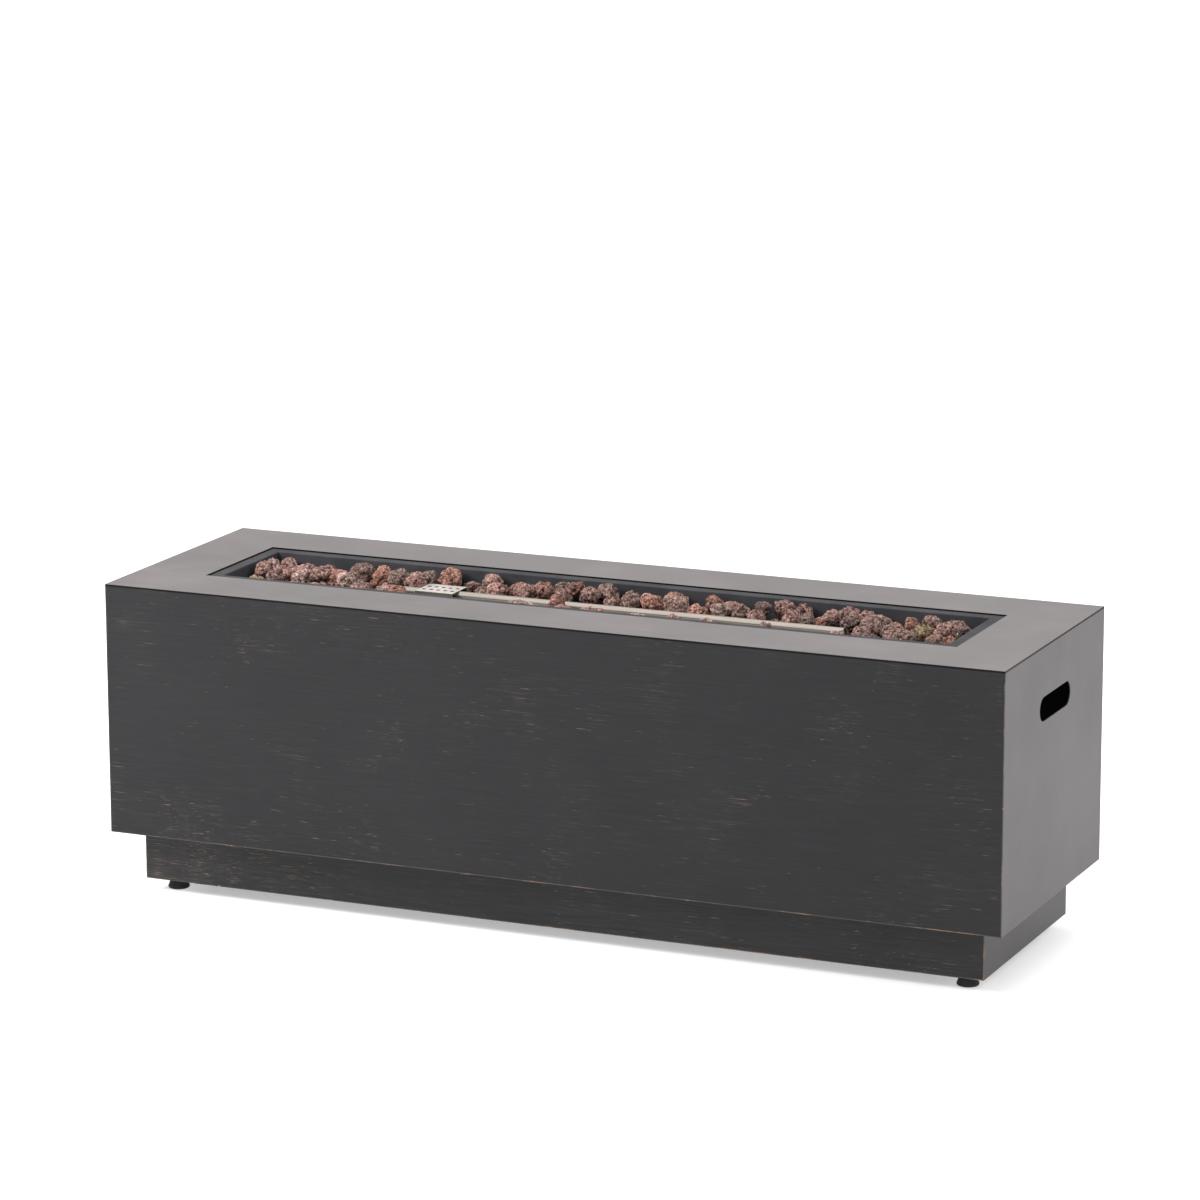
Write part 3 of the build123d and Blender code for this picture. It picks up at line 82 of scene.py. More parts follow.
# How deep the fine relief of each kind of surface is
BRUSHED_DEPTH, GRAIN_DEPTH, DRAWN_DEPTH, PORE_DEPTH = 0.0004, 0.0005, 0.0003, 0.0020
# How far brush lines and streaks stray from straight
SHEET_WAVER, STREAK_WAVER, METAL_WAVER = 0.004, 0.014, 0.001

# Lines per metre on each axis: brush lines and rubbed streaks, along the case and up its ends
LINES_LONG, LINES_UPRIGHT = (11, 700, 700), (700, 700, 7)
STREAKS_LONG, STREAKS_UPRIGHT = (16, 1300, 1300), (1300, 1300, 20)
# The same for bare metal: drawn along the burner, drawn tube, rolled sheet, turned fittings and zinc plating
LINES_DRAWN, LINES_TUBE, LINES_ROLLED = (25, 900, 900), (120, 900, 900), (60, 500, 500)
LINES_TURNED, LINES_PLATED = (300, 300, 1200), (500, 500, 500)
# Features per metre of the lava's fine surface
LAVA_PORES, LAVA_SPONGE, LAVA_SPECKS, LAVA_SWAY = 240.0, 300.0, 330.0, 420.0
LAVA_SWAY_REACH = 0.0030

BRONZE = (0.46, 0.25, 0.125, 1)
RUBBED_GREY = (0.30, 0.265, 0.23, 1)
GAP_SHADOW_BLACK = (0.004, 0.004, 0.004, 1)
SOOT = (0.008, 0.007, 0.006, 1)
TUBE_SEAM_BROWN = (0.05, 0.045, 0.04, 1)
LAVA_CRUST = (0.70, 0.52, 0.46, 1)
# Painted reflection tint for each face: the front and back look neutral, the top and the ends slightly warm
NEUTRAL_PAINTED_SHEEN, WARM_PAINTED_SHEEN = (1.0, 0.975, 1.0, 1), (1.0, 0.928, 0.935, 1)
# Most of a noise lies between these values
NOISE_LOW, NOISE_HIGH = 0.3, 0.7


# Node trees

class Tree:
    """Short names for adding nodes to a material or a node group."""

    def __init__(self, tree):
        self.tree = tree

    def add(self, kind, **settings):
        node = self.tree.nodes.new(kind)
        for name, value in settings.items():
            setattr(node, name, value)
        return node

    def feed(self, socket, value):
        """Links a socket to an output, or sets its value."""
        if isinstance(value, bpy.types.NodeSocket):
            self.tree.links.new(value, socket)
        else:
            socket.default_value = value

    def math(self, operation, *values):
        node = self.add("ShaderNodeMath", operation=operation)
        for socket, value in zip(node.inputs, values):
            self.feed(socket, value)
        return node.outputs[0]

    def weigh(self, one, share, other, other_share):
        """Sum of two values, each times its share."""
        return self.math("ADD", self.math("MULTIPLY", one, share), self.math("MULTIPLY", other, other_share))

    def vector(self, operation, *values):
        node = self.add("ShaderNodeVectorMath", operation=operation)
        for socket, value in zip(node.inputs, values):
            self.feed(socket, value)
        return node.outputs[0]

    def axes(self, vector):
        """The X, Y and Z of a vector."""
        node = self.add("ShaderNodeSeparateXYZ")
        self.feed(node.inputs[0], vector)
        return node.outputs

    def noise(self, place, scale, detail=2.0, roughness=0.5):
        node = self.add("ShaderNodeTexNoise")
        self.feed(node.inputs["Vector"], place)
        self.feed(node.inputs["Scale"], scale)
        self.feed(node.inputs["Detail"], detail)
        self.feed(node.inputs["Roughness"], roughness)
        return node.outputs["Fac"]

    def drift(self, place, scale, reach):
        """The place shifted unevenly, by the same amount on all axes."""
        uneven = self.math("SUBTRACT", self.noise(place, scale, detail=1.0), 0.5)
        amount = self.math("MULTIPLY", uneven, reach)
        shift = self.add("ShaderNodeCombineXYZ")
        for socket in shift.inputs:
            self.feed(socket, amount)
        return self.vector("ADD", place, shift.outputs[0])

    def sway(self, place, scale, reach):
        """The place shifted unevenly, on each axis by its own amount."""
        node = self.add("ShaderNodeTexNoise")
        self.feed(node.inputs["Vector"], place)
        self.feed(node.inputs["Scale"], scale)
        centred = self.vector("SUBTRACT", node.outputs["Color"], (0.5, 0.5, 0.5))
        return self.vector("ADD", place, self.vector("MULTIPLY", centred, (reach, reach, reach)))

    def ramp(self, value, low, high, to_low=0.0, to_high=1.0):
        """Smooth step from low to high."""
        node = self.add("ShaderNodeMapRange", interpolation_type="SMOOTHSTEP")
        for socket, number in zip(node.inputs, (value, low, high, to_low, to_high)):
            self.feed(socket, number)
        return node.outputs[0]

    def spread(self, value, to_low=0.0, to_high=1.0):
        """Smooth step over most of a noise's range."""
        return self.ramp(value, NOISE_LOW, NOISE_HIGH, to_low, to_high)

    def mix(self, share, one, other):
        node = self.add("ShaderNodeMix", data_type="RGBA")
        self.feed(node.inputs["Factor"], share)
        self.feed(node.inputs["A"], one)
        self.feed(node.inputs["B"], other)
        return node.outputs["Result"]

    def bump(self, height, strength, distance):
        node = self.add("ShaderNodeBump")
        self.feed(node.inputs["Height"], height)
        node.inputs["Strength"].default_value = strength
        node.inputs["Distance"].default_value = distance
        return node.outputs["Normal"]

    def place(self):
        """Where the surface lies in the part's own frame, in metres."""
        return self.add("ShaderNodeTexCoord").outputs["Object"]

    def upward(self):
        """How far the surface faces up: 1 for a floor, 0 for a wall, -1 for a ceiling."""
        return self.axes(self.add("ShaderNodeNewGeometry").outputs["True Normal"])["Z"]

    def effect(self, group, **inputs):
        """Places a node group and sets its inputs."""
        node = self.add("ShaderNodeGroup", node_tree=group)
        for name, value in inputs.items():
            self.feed(node.inputs[name], value)
        return node.outputs


def node_group(name, inputs, outputs):
    """Empty shader node group: the group, its tree, what it is given and what it gives out."""
    group = bpy.data.node_groups.new(name, "ShaderNodeTree")
    kinds = {"value": "NodeSocketFloat", "vector": "NodeSocketVector"}
    for title, kind in inputs:
        group.interface.new_socket(title, in_out="INPUT", socket_type=kinds[kind])
    for title, kind in outputs:
        group.interface.new_socket(title, in_out="OUTPUT", socket_type=kinds[kind])
    tree = Tree(group)
    return group, tree, tree.add("NodeGroupInput").outputs, tree.add("NodeGroupOutput").inputs


def brush_lines_group():
    """Fine lines drawn along one direction: Stretch is the number of lines per metre on each axis."""
    group, t, given, out = node_group(
        "brush_lines", [("Place", "vector"), ("Stretch", "vector"), ("Waver", "value")],
        [("Line", "value"), ("Cloud", "value")])
    bent = t.drift(given["Place"], scale=5.0, reach=given["Waver"])
    stretched = t.vector("MULTIPLY", bent, given["Stretch"])
    t.feed(out["Line"], t.noise(stretched, scale=1.0, detail=3.0, roughness=0.65))
    t.feed(out["Cloud"], t.noise(given["Place"], scale=7.0, detail=3.0, roughness=0.6))
    return group


def bronze_streaks_group():
    """Where the dark finish is rubbed through along the brush lines: hair lines and dashes, in patches."""
    group, t, given, out = node_group(
        "bronze_streaks", [("Place", "vector"), ("Stretch", "vector"), ("Amount", "value")],
        [("Mask", "value")])
    bent = t.drift(given["Place"], scale=3.0, reach=STREAK_WAVER)
    stretched = t.vector("MULTIPLY", bent, given["Stretch"])
    patch = t.math("SUBTRACT", t.noise(given["Place"], scale=11.0, detail=3.0, roughness=0.65), 0.5)
    rubbed = t.math("MULTIPLY_ADD", patch, 0.40, given["Amount"])
    dash = t.math("ADD", t.noise(stretched, scale=1.0, detail=2.0, roughness=0.6), rubbed)
    hair = t.math("MULTIPLY_ADD", rubbed, 0.6, t.noise(stretched, scale=1.5, detail=1.0))
    faint = t.ramp(dash, 0.60, 0.82, to_high=0.11)
    bright = t.math("MAXIMUM", t.ramp(dash, 0.80, 0.90), t.ramp(hair, 0.755, 0.83, to_high=0.6))
    t.feed(out["Mask"], t.math("MAXIMUM", faint, bright))
    return group


def worn_edges_group():
    """Bronze along the edges of a box: a thin faint line, with broken bright stretches."""
    group, t, given, out = node_group(
        "worn_edges", [("Place", "vector"), ("Centre", "vector"), ("Half", "vector")], [("Mask", "value")])
    apart = t.vector("ABSOLUTE", t.vector("SUBTRACT", given["Place"], given["Centre"]))
    x, y, z = t.axes(t.vector("SUBTRACT", given["Half"], apart))
    # On a face one of the three distances is nought, so the middle one is the distance to the nearest edge
    low, high = t.math("MINIMUM", x, y), t.math("MAXIMUM", x, y)
    distance = t.math("MAXIMUM", low, t.math("MINIMUM", high, z))
    uneven = t.noise(given["Place"], scale=10.0, detail=5.0, roughness=0.7)
    broken = t.ramp(uneven, 0.47, 0.68, to_low=0.12, to_high=0.50)
    line = t.math("MULTIPLY", t.ramp(distance, EDGE_LINE, EDGE_FADE, 1.0, 0.0), broken)
    ragged = t.noise(given["Place"], scale=40.0, detail=4.0, roughness=0.7)
    chipped = t.ramp(ragged, 0.60, 0.76, to_high=CHIP_REACH)
    chip = t.math("MULTIPLY", t.math("LESS_THAN", distance, chipped), 0.6)
    t.feed(out["Mask"], t.math("MAXIMUM", line, chip))
    return group


def fine_grain_group():
    """Even small-scale unevenness: moulded plastic, cast metal, sprayed paint."""
    group, t, given, out = node_group(
        "fine_grain", [("Place", "vector"), ("Grain", "value")], [("Speck", "value"), ("Cloud", "value")])
    t.feed(out["Speck"], t.noise(given["Place"], scale=given["Grain"], detail=3.0, roughness=0.6))
    t.feed(out["Cloud"], t.noise(given["Place"], scale=22.0, detail=3.0, roughness=0.6))
    return group


BRUSH_LINES = brush_lines_group()
BRONZE_STREAKS = bronze_streaks_group()
WORN_EDGES = worn_edges_group()
FINE_GRAIN = fine_grain_group()


# Materials

def material(name):
    """New material, its node tree and the inputs of its Principled shader."""
    made = bpy.data.materials.new(name)
    made.use_nodes = True
    return made, Tree(made.node_tree), made.node_tree.nodes["Principled BSDF"].inputs


def case_finish(name, dark, light, lines, streaks, amount, centre, half, ior, painted_sheen):
    """Dark brushed sheet: faint lines, bronze streaks, bronze rubbed through along the edges and a painted
    shadow line under the top sheet; its tones, ior and sheen are painted light and shade per face.
    """
    made, t, surface = material(name)
    place = t.place()
    spot = t.axes(place)
    brush = t.effect(BRUSH_LINES, Place=place, Stretch=lines, Waver=SHEET_WAVER)
    rubbing = t.ramp(spot["X"], WORN_LEFT, WORN_MIDDLE, 0.12, 0.02)
    handled = t.math("MULTIPLY_ADD", t.ramp(spot["Z"], WORN_LOW, WORN_HIGH, 1.0, 0.0), rubbing, amount)
    streak = t.effect(BRONZE_STREAKS, Place=place, Stretch=streaks, Amount=handled)["Mask"]
    edge = t.effect(WORN_EDGES, Place=place, Centre=centre, Half=half)["Mask"]
    sheltered = t.ramp(spot["Z"], SHELTER_LOW, SHELTER_HIGH, 1.0, 0.0)
    bronze = t.math("MAXIMUM", streak, t.math("MULTIPLY", edge, sheltered))
    # Painted shadow: the sheet goes most of the way to black in its top few millimetres, as the shade in the
    # gap under the top sheet
    seam_shadow = t.ramp(spot["Z"], SEAM_SHADOW_LOW, SEAM_SHADOW_HIGH, to_high=0.75)
    base = t.mix(t.spread(t.weigh(brush["Line"], 0.7, brush["Cloud"], 0.3)), dark, light)
    rubbed = t.mix(t.ramp(bronze, 0.08, 0.45), RUBBED_GREY, BRONZE)
    t.feed(surface["Base Color"], t.mix(seam_shadow, t.mix(bronze, base, rubbed), GAP_SHADOW_BLACK))
    t.feed(surface["Metallic"], t.math("MAXIMUM", seam_shadow, t.math("MULTIPLY", bronze, 0.4)))
    brushed = t.ramp(brush["Line"], 0.25, 0.75, 0.38, 0.46)
    t.feed(surface["Roughness"], t.math("MAXIMUM", brushed, t.math("MULTIPLY", seam_shadow, 0.9)))
    t.feed(surface["Normal"], t.bump(brush["Line"], strength=0.085, distance=BRUSHED_DEPTH))
    surface["IOR"].default_value = ior
    surface["Specular Tint"].default_value = painted_sheen
    return made


def top_lit_finish():
    """The top sheet, painted lighter than the front: long fine lines along the case, with its edges painted
    black as the shadow of the gap beneath it.
    """
    made, t, surface = material("top_lit_finish")
    place = t.place()
    brush = t.effect(BRUSH_LINES, Place=place, Stretch=LINES_LONG, Waver=SHEET_WAVER)
    streak = t.effect(BRONZE_STREAKS, Place=place, Stretch=STREAKS_LONG, Amount=-0.12)["Mask"]
    # Painted shadow: the top sheet's edges, which face sideways, go black as the shade in the gap beneath it
    painted_shadow_rim = t.ramp(t.upward(), 0.25, 0.70, 0.85, 0.0)
    shade = t.weigh(brush["Line"], 0.6, brush["Cloud"], 0.4)
    base = t.mix(t.spread(shade), (0.018, 0.015, 0.0145, 1), (0.100, 0.086, 0.083, 1))
    t.feed(surface["Base Color"], t.mix(painted_shadow_rim, t.mix(streak, base, BRONZE), GAP_SHADOW_BLACK))
    t.feed(surface["Metallic"], painted_shadow_rim)
    brushed = t.spread(shade, 0.31, 0.47)
    t.feed(surface["Roughness"], t.math("MAXIMUM", brushed, t.math("MULTIPLY", painted_shadow_rim, 0.9)))
    t.feed(surface["Normal"], t.bump(brush["Line"], strength=0.22, distance=BRUSHED_DEPTH))
    surface["IOR"].default_value = 2.0
    surface["Specular Tint"].default_value = WARM_PAINTED_SHEEN
    return made


def painted(name, dark, light, roughness, grain, bump, ior=1.45):
    """Sprayed or moulded surface with a fine even grain."""
    made, t, surface = material(name)
    fine = t.effect(FINE_GRAIN, Place=t.place(), Grain=grain)
    t.feed(surface["Base Color"], t.mix(t.spread(fine["Cloud"]), dark, light))
    t.feed(surface["Roughness"], t.spread(fine["Speck"], roughness - 0.06, roughness + 0.06))
    t.feed(surface["Normal"], t.bump(fine["Speck"], strength=bump, distance=GRAIN_DEPTH))
    surface["IOR"].default_value = ior
    return made


def bare_metal(name, dark, light, lines, roughness):
    """Plain metal with its drawing or turning lines and slight tarnish."""
    made, t, surface = material(name)
    brush = t.effect(BRUSH_LINES, Place=t.place(), Stretch=lines, Waver=METAL_WAVER)
    shade = t.weigh(brush["Line"], 0.5, brush["Cloud"], 0.5)
    t.feed(surface["Base Color"], t.mix(t.spread(shade), dark, light))
    t.feed(surface["Roughness"], t.spread(brush["Cloud"], roughness - 0.07, roughness + 0.07))
    t.feed(surface["Normal"], t.bump(brush["Line"], strength=0.10, distance=DRAWN_DEPTH))
    surface["Metallic"].default_value = 1.0
    return made


def burner_steel():
    """Drawn steel with a rolled seam along its front, black with soot where the pilot burns."""
    made, t, surface = material("burner_steel")
    place = t.place()
    spot = t.axes(place)
    brush = t.effect(BRUSH_LINES, Place=place, Stretch=LINES_DRAWN, Waver=METAL_WAVER)
    shade = t.weigh(brush["Line"], 0.5, brush["Cloud"], 0.5)
    aside = t.math("ABSOLUTE", t.math("SUBTRACT", spot["X"], HOOD_CENTRE[0]))
    soot = t.ramp(aside, SOOT_REACH, SOOT_REACH + SOOT_FADE, 1.0, 0.0)
    above = t.ramp(spot["Z"], TUBE_SEAM_LOW, TUBE_SEAM_LOW + TUBE_SEAM_FADE)
    below = t.ramp(spot["Z"], TUBE_SEAM_HIGH, TUBE_SEAM_HIGH + TUBE_SEAM_FADE, 0.75, 0.0)
    drawn = t.mix(t.spread(shade), (0.275, 0.240, 0.210, 1), (0.385, 0.345, 0.305, 1))
    rolled = t.mix(t.math("MULTIPLY", above, below), drawn, TUBE_SEAM_BROWN)
    t.feed(surface["Base Color"], t.mix(soot, rolled, SOOT))
    t.feed(surface["Roughness"], t.spread(brush["Cloud"], 0.35, 0.49))
    t.feed(surface["Metallic"], t.math("SUBTRACT", 1.0, soot))
    t.feed(surface["Normal"], t.bump(brush["Line"], strength=0.10, distance=DRAWN_DEPTH))
    return made


def hood_steel():
    """Bright perforated sheet, with painted brown shade on its walls, and black underneath."""
    made, t, surface = material("hood_steel")
    brush = t.effect(BRUSH_LINES, Place=t.place(), Stretch=LINES_ROLLED, Waver=METAL_WAVER)
    shade = t.weigh(brush["Line"], 0.5, brush["Cloud"], 0.5)
    upward = t.upward()
    bright = t.ramp(upward, 0.3, 0.8)
    under = t.ramp(upward, -0.8, -0.3, 1.0, 0.0)
    sheet = t.mix(t.spread(shade), (0.57, 0.525, 0.50, 1), (0.69, 0.645, 0.62, 1))
    # Painted shade: the walls, which don't face up, get a dark brown instead of the bright sheet
    painted_wall_shade = t.mix(t.spread(brush["Cloud"]), (0.050, 0.042, 0.034, 1), (0.110, 0.095, 0.078, 1))
    t.feed(surface["Base Color"], t.mix(under, t.mix(bright, painted_wall_shade, sheet), SOOT))
    t.feed(surface["Roughness"], t.spread(brush["Cloud"], 0.42, 0.56))
    t.feed(surface["Metallic"], bright)
    t.feed(surface["Normal"], t.bump(brush["Line"], strength=0.10, distance=DRAWN_DEPTH))
    return made


def lava_stone():
    """Porous lava: each rock's own colour, painted shade in the spongy pores, pits and creases, pale crusts
    and a rough bump.
    """
    made, t, surface = material("lava_stone")
    place = t.place()
    own = t.add("ShaderNodeVertexColor", layer_name="rock_colour_and_shade").outputs
    fine = t.effect(FINE_GRAIN, Place=place, Grain=LAVA_SPECKS)
    bent = t.sway(place, scale=LAVA_SWAY, reach=LAVA_SWAY_REACH)
    pores = t.add("ShaderNodeTexVoronoi", feature="SMOOTH_F1")
    t.feed(pores.inputs["Vector"], bent)
    t.feed(pores.inputs["Scale"], LAVA_PORES)
    t.feed(pores.inputs["Smoothness"], 0.3)
    sponge = t.ramp(t.noise(bent, scale=LAVA_SPONGE, detail=3.0, roughness=0.6), 0.38, 0.54, to_low=0.3)
    wall = t.math("MULTIPLY", t.ramp(pores.outputs["Distance"], 0.16, 0.46), sponge)
    crusted = t.mix(t.ramp(fine["Speck"], 0.52, 0.72, to_high=0.55), own["Color"], LAVA_CRUST)
    darker = t.vector("MULTIPLY", crusted, (0.72, 0.78, 0.80))
    burnt = t.mix(t.ramp(fine["Cloud"], 0.35, 0.70), crusted, darker)
    # Painted shade: the pores' middles and each rock's pits and creases go towards this dark brown, and its
    # lumps are painted lighter
    pit_shade_colour = t.vector("MULTIPLY", own["Color"], (0.085, 0.07, 0.07))
    painted_light_share = t.math("MULTIPLY", t.math("MULTIPLY_ADD", wall, 0.85, 0.15), own["Alpha"])
    t.feed(surface["Base Color"], t.mix(painted_light_share, pit_shade_colour, burnt))
    t.feed(surface["Roughness"], t.spread(fine["Speck"], 0.82, 0.96))
    rough = t.weigh(wall, 0.8, fine["Speck"], 0.4)
    t.feed(surface["Normal"], t.bump(rough, strength=0.9, distance=PORE_DEPTH))
    surface["Specular IOR Level"].default_value = 0.1
    return made


# Painted light and shade: the front, ends, top and plinth are one brushed sheet, painted darker on the front
# and plinth front and lighter on the ends and top, with ior and sheen set face by face
FRONT_SHADED_FINISH = case_finish(
    "front_shaded_finish", (0.0112, 0.0110, 0.0120, 1), (0.0165, 0.0162, 0.0174, 1), LINES_LONG, STREAKS_LONG,
    amount=0.0, centre=CASE_CENTRE, half=CASE_HALF, ior=1.28, painted_sheen=NEUTRAL_PAINTED_SHEEN)
END_LIT_FINISH = case_finish(
    "end_lit_finish", (0.022, 0.019, 0.020, 1), (0.066, 0.058, 0.061, 1), LINES_UPRIGHT, STREAKS_UPRIGHT,
    amount=-0.14, centre=CASE_CENTRE, half=CASE_HALF, ior=1.47, painted_sheen=WARM_PAINTED_SHEEN)
PLINTH_SHADED_FINISH = case_finish(
    "plinth_finish", (0.0085, 0.0085, 0.0088, 1), (0.0205, 0.0200, 0.0200, 1), LINES_LONG, STREAKS_LONG,
    amount=0.0, centre=PLINTH_CENTRE, half=PLINTH_HALF, ior=1.31, painted_sheen=NEUTRAL_PAINTED_SHEEN)
PLINTH_END_LIT_FINISH = case_finish(
    "plinth_end_lit_finish", (0.011, 0.0095, 0.010, 1), (0.032, 0.028, 0.029, 1), LINES_UPRIGHT, STREAKS_UPRIGHT,
    amount=-0.10, centre=PLINTH_CENTRE, half=PLINTH_HALF, ior=1.42, painted_sheen=WARM_PAINTED_SHEEN)
TOP_LIT_FINISH = top_lit_finish()
PAN_PAINT = painted("pan_paint", (0.034, 0.034, 0.037, 1), (0.048, 0.048, 0.052, 1),
                    roughness=0.75, grain=900.0, bump=0.15, ior=1.22)
DISH_PAINT = painted("dish_paint", (0.012, 0.012, 0.012, 1), (0.020, 0.020, 0.020, 1),
                     roughness=0.42, grain=1100.0, bump=0.10)
BLACK_PLASTIC = painted("black_plastic", (0.010, 0.010, 0.010, 1), (0.018, 0.018, 0.018, 1),
                        roughness=0.50, grain=2200.0, bump=0.20)
BLACK_RUBBER = painted("black_rubber", (0.008, 0.008, 0.008, 1), (0.015, 0.015, 0.015, 1),
                       roughness=0.70, grain=1600.0, bump=0.15)
RED_PLASTIC = painted("red_plastic", (0.30, 0.020, 0.015, 1), (0.36, 0.028, 0.020, 1),
                      roughness=0.28, grain=1800.0, bump=0.04)
LEAD_SLEEVE = painted("lead_sleeve", (0.50, 0.46, 0.40, 1), (0.60, 0.56, 0.50, 1),
                      roughness=0.55, grain=1500.0, bump=0.08)
WHITE_CERAMIC = painted("white_ceramic", (0.75, 0.72, 0.66, 1), (0.85, 0.82, 0.77, 1),
                        roughness=0.30, grain=900.0, bump=0.05, ior=1.55)
SOOTY_STEEL = painted("sooty_steel", (0.010, 0.009, 0.008, 1), (0.030, 0.026, 0.022, 1),
                      roughness=0.75, grain=800.0, bump=0.20)
STAINLESS = bare_metal("stainless", (0.21, 0.195, 0.175, 1), (0.31, 0.29, 0.265, 1),
                       lines=LINES_DRAWN, roughness=0.42)
ZINC = bare_metal("zinc_steel", (0.50, 0.51, 0.52, 1), (0.64, 0.65, 0.66, 1),
                  lines=LINES_PLATED, roughness=0.38)
BRASS = bare_metal("brass_fittings", (0.52, 0.36, 0.14, 1), (0.66, 0.48, 0.22, 1),
                   lines=LINES_TURNED, roughness=0.32)
ALUMINIUM = bare_metal("aluminium_tube", (0.58, 0.59, 0.60, 1), (0.70, 0.71, 0.72, 1),
                       lines=LINES_TUBE, roughness=0.40)
COPPER = bare_metal("copper", (0.42, 0.19, 0.10, 1), (0.56, 0.28, 0.16, 1),
                    lines=LINES_TUBE, roughness=0.36)
BURNER_STEEL = burner_steel()
HOOD_STEEL = hood_steel()
LAVA = lava_stone()

FINISHES = {
    FRONT_SHADED_FINISH: ["front_panel", "back_panel"],
    END_LIT_FINISH: ["left_end_panel", "right_end_panel"],
    TOP_LIT_FINISH: ["top_panel"],
    PLINTH_SHADED_FINISH: ["plinth_front", "plinth_back"],
    PLINTH_END_LIT_FINISH: ["plinth_left", "plinth_right"],
    PAN_PAINT: ["burner_pan"],
    DISH_PAINT: ["control_dish"],
    BLACK_PLASTIC: ["control_knob", "igniter_body", "igniter_nut", "igniter_cap"],
    BLACK_RUBBER: ["hose_grommet"] + [n for n in NODES if n.startswith("foot_pad")],
    RED_PLASTIC: ["igniter_button"],
    LEAD_SLEEVE: ["igniter_lead"],
    WHITE_CERAMIC: ["electrode_ceramic"],
    HOOD_STEEL: ["igniter_hood"],
    BURNER_STEEL: ["burner_tube", "burner_end_plug"],
    SOOTY_STEEL: ["pilot_bracket", "electrode_pin"],
    STAINLESS: ["pan_screws", "dish_screws", "valve_screws", "burner_saddle_1", "burner_saddle_2"],
    ZINC: ["foot_weld_nuts", "top_nuts", "plinth_bolts", "plinth_nuts", "thrust_washer", "stem_spring",
           "igniter_spring"] + [n for n in NODES if n.startswith(("foot_stud", "foot_bracket"))],
    BRASS: ["inlet_jam_nut", "mixer_fitting", "gas_tube_nuts", "inlet_fitting", "valve_stem"],
    ALUMINIUM: ["gas_tube", "gas_valve", "battery_cell"],
    COPPER: ["thermocouple", "thermocouple_lead"],
}
for finish, names in FINISHES.items():
    for name in names:
        NODES[name].material_slots[0].material = finish


# Springs

def pressed_spring(node):
    """A copy of a coil spring's part as a separate piece in zinc steel, with the part itself hidden."""
    mesh = NODES[node].data.copy()
    mesh.materials.clear()
    mesh.materials.append(ZINC)
    coil = bpy.data.objects.new(node + "_coil", mesh)
    bpy.context.collection.objects.link(coil)
    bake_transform(coil)
    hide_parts(node)


pressed_spring("stem_spring")
pressed_spring("igniter_spring")


# Lava rock: each solid's planes, rounded off and weathered

# How common each colour is
ROCK_COLOURS = {
    (0.410, 0.235, 0.200): 5, (0.400, 0.200, 0.155): 3, (0.335, 0.210, 0.180): 4, (0.240, 0.160, 0.140): 2,
    (0.540, 0.365, 0.315): 2, (0.310, 0.220, 0.130): 0.7,
}
ROCK_TINTS = (0.8, 1.2)
ROCK_SEED = 5
ROCK_DETAIL = 4
# A higher power keeps the edges between the planes sharper
ROCK_SHARPNESS = 24
# Each rock takes its unevenness from its own place in the noise, up to this far away
ROCK_NOISE_REACH = 50
# The weathered surface: features per metre and how far each one moves the surface, in metres
BIG_LUMPS, BIG_LUMP_REACH = 48, 0.0042
SMALL_LUMPS, SMALL_LUMP_REACH = 115, 0.0030
CREASES, CREASE_WIDTH, CREASE_DEPTH = 80, 0.16, 0.0026
PITS, PIT_WIDTH, PIT_DEPTH = 165, 0.47, 0.0042
GRIT, GRIT_REACH = 400, 0.0011
ROCK_SWELL = 0.0023
# How much painted shade a pit and a crease put on a point, and how much painted highlight grit and a lump
# put on it
PIT_SHADE, CREASE_SHADE, GRIT_LIGHT, LUMP_LIGHT = 1.3, 0.45, 0.3, 60
# Corners closer together than this are one corner, in metres
SAME_POINT = 1e-6
# No plane is taken to lie nearer to the middle of its rock than this, in metres
LEAST_DEPTH = 1e-4


def rock_islands(node):
    """Corner points and outward face planes of each separate solid of a node."""
    mesh = bmesh.new()
    mesh.from_mesh(node.data)
    bmesh.ops.remove_doubles(mesh, verts=mesh.verts, dist=SAME_POINT)
    left = set(mesh.verts)
    islands = []
    while left:
        stack, members = [left.pop()], []
        while stack:
            vert = stack.pop()
            members.append(vert)
            for edge in vert.link_edges:
                other = edge.other_vert(vert)
                if other in left:
                    left.remove(other)
                    stack.append(other)
        points = np.array([v.co for v in members])
        faces = {f for v in members for f in v.link_faces}
        islands.append((points, [(np.array(f.normal), np.array(f.verts[0].co)) for f in faces]))
    mesh.free()
    islands.sort(key=lambda island: tuple(island[0].mean(axis=0)))
    return islands


def ball(detail):
    """Directions and triangles of an even ball."""
    mesh = bmesh.new()
    bmesh.ops.create_icosphere(mesh, subdivisions=detail, radius=1.0)
    mesh.verts.ensure_lookup_table()
    points = np.array([v.co for v in mesh.verts])
    faces = np.array([[v.index for v in f.verts] for f in mesh.faces])
    mesh.free()
    return points, faces


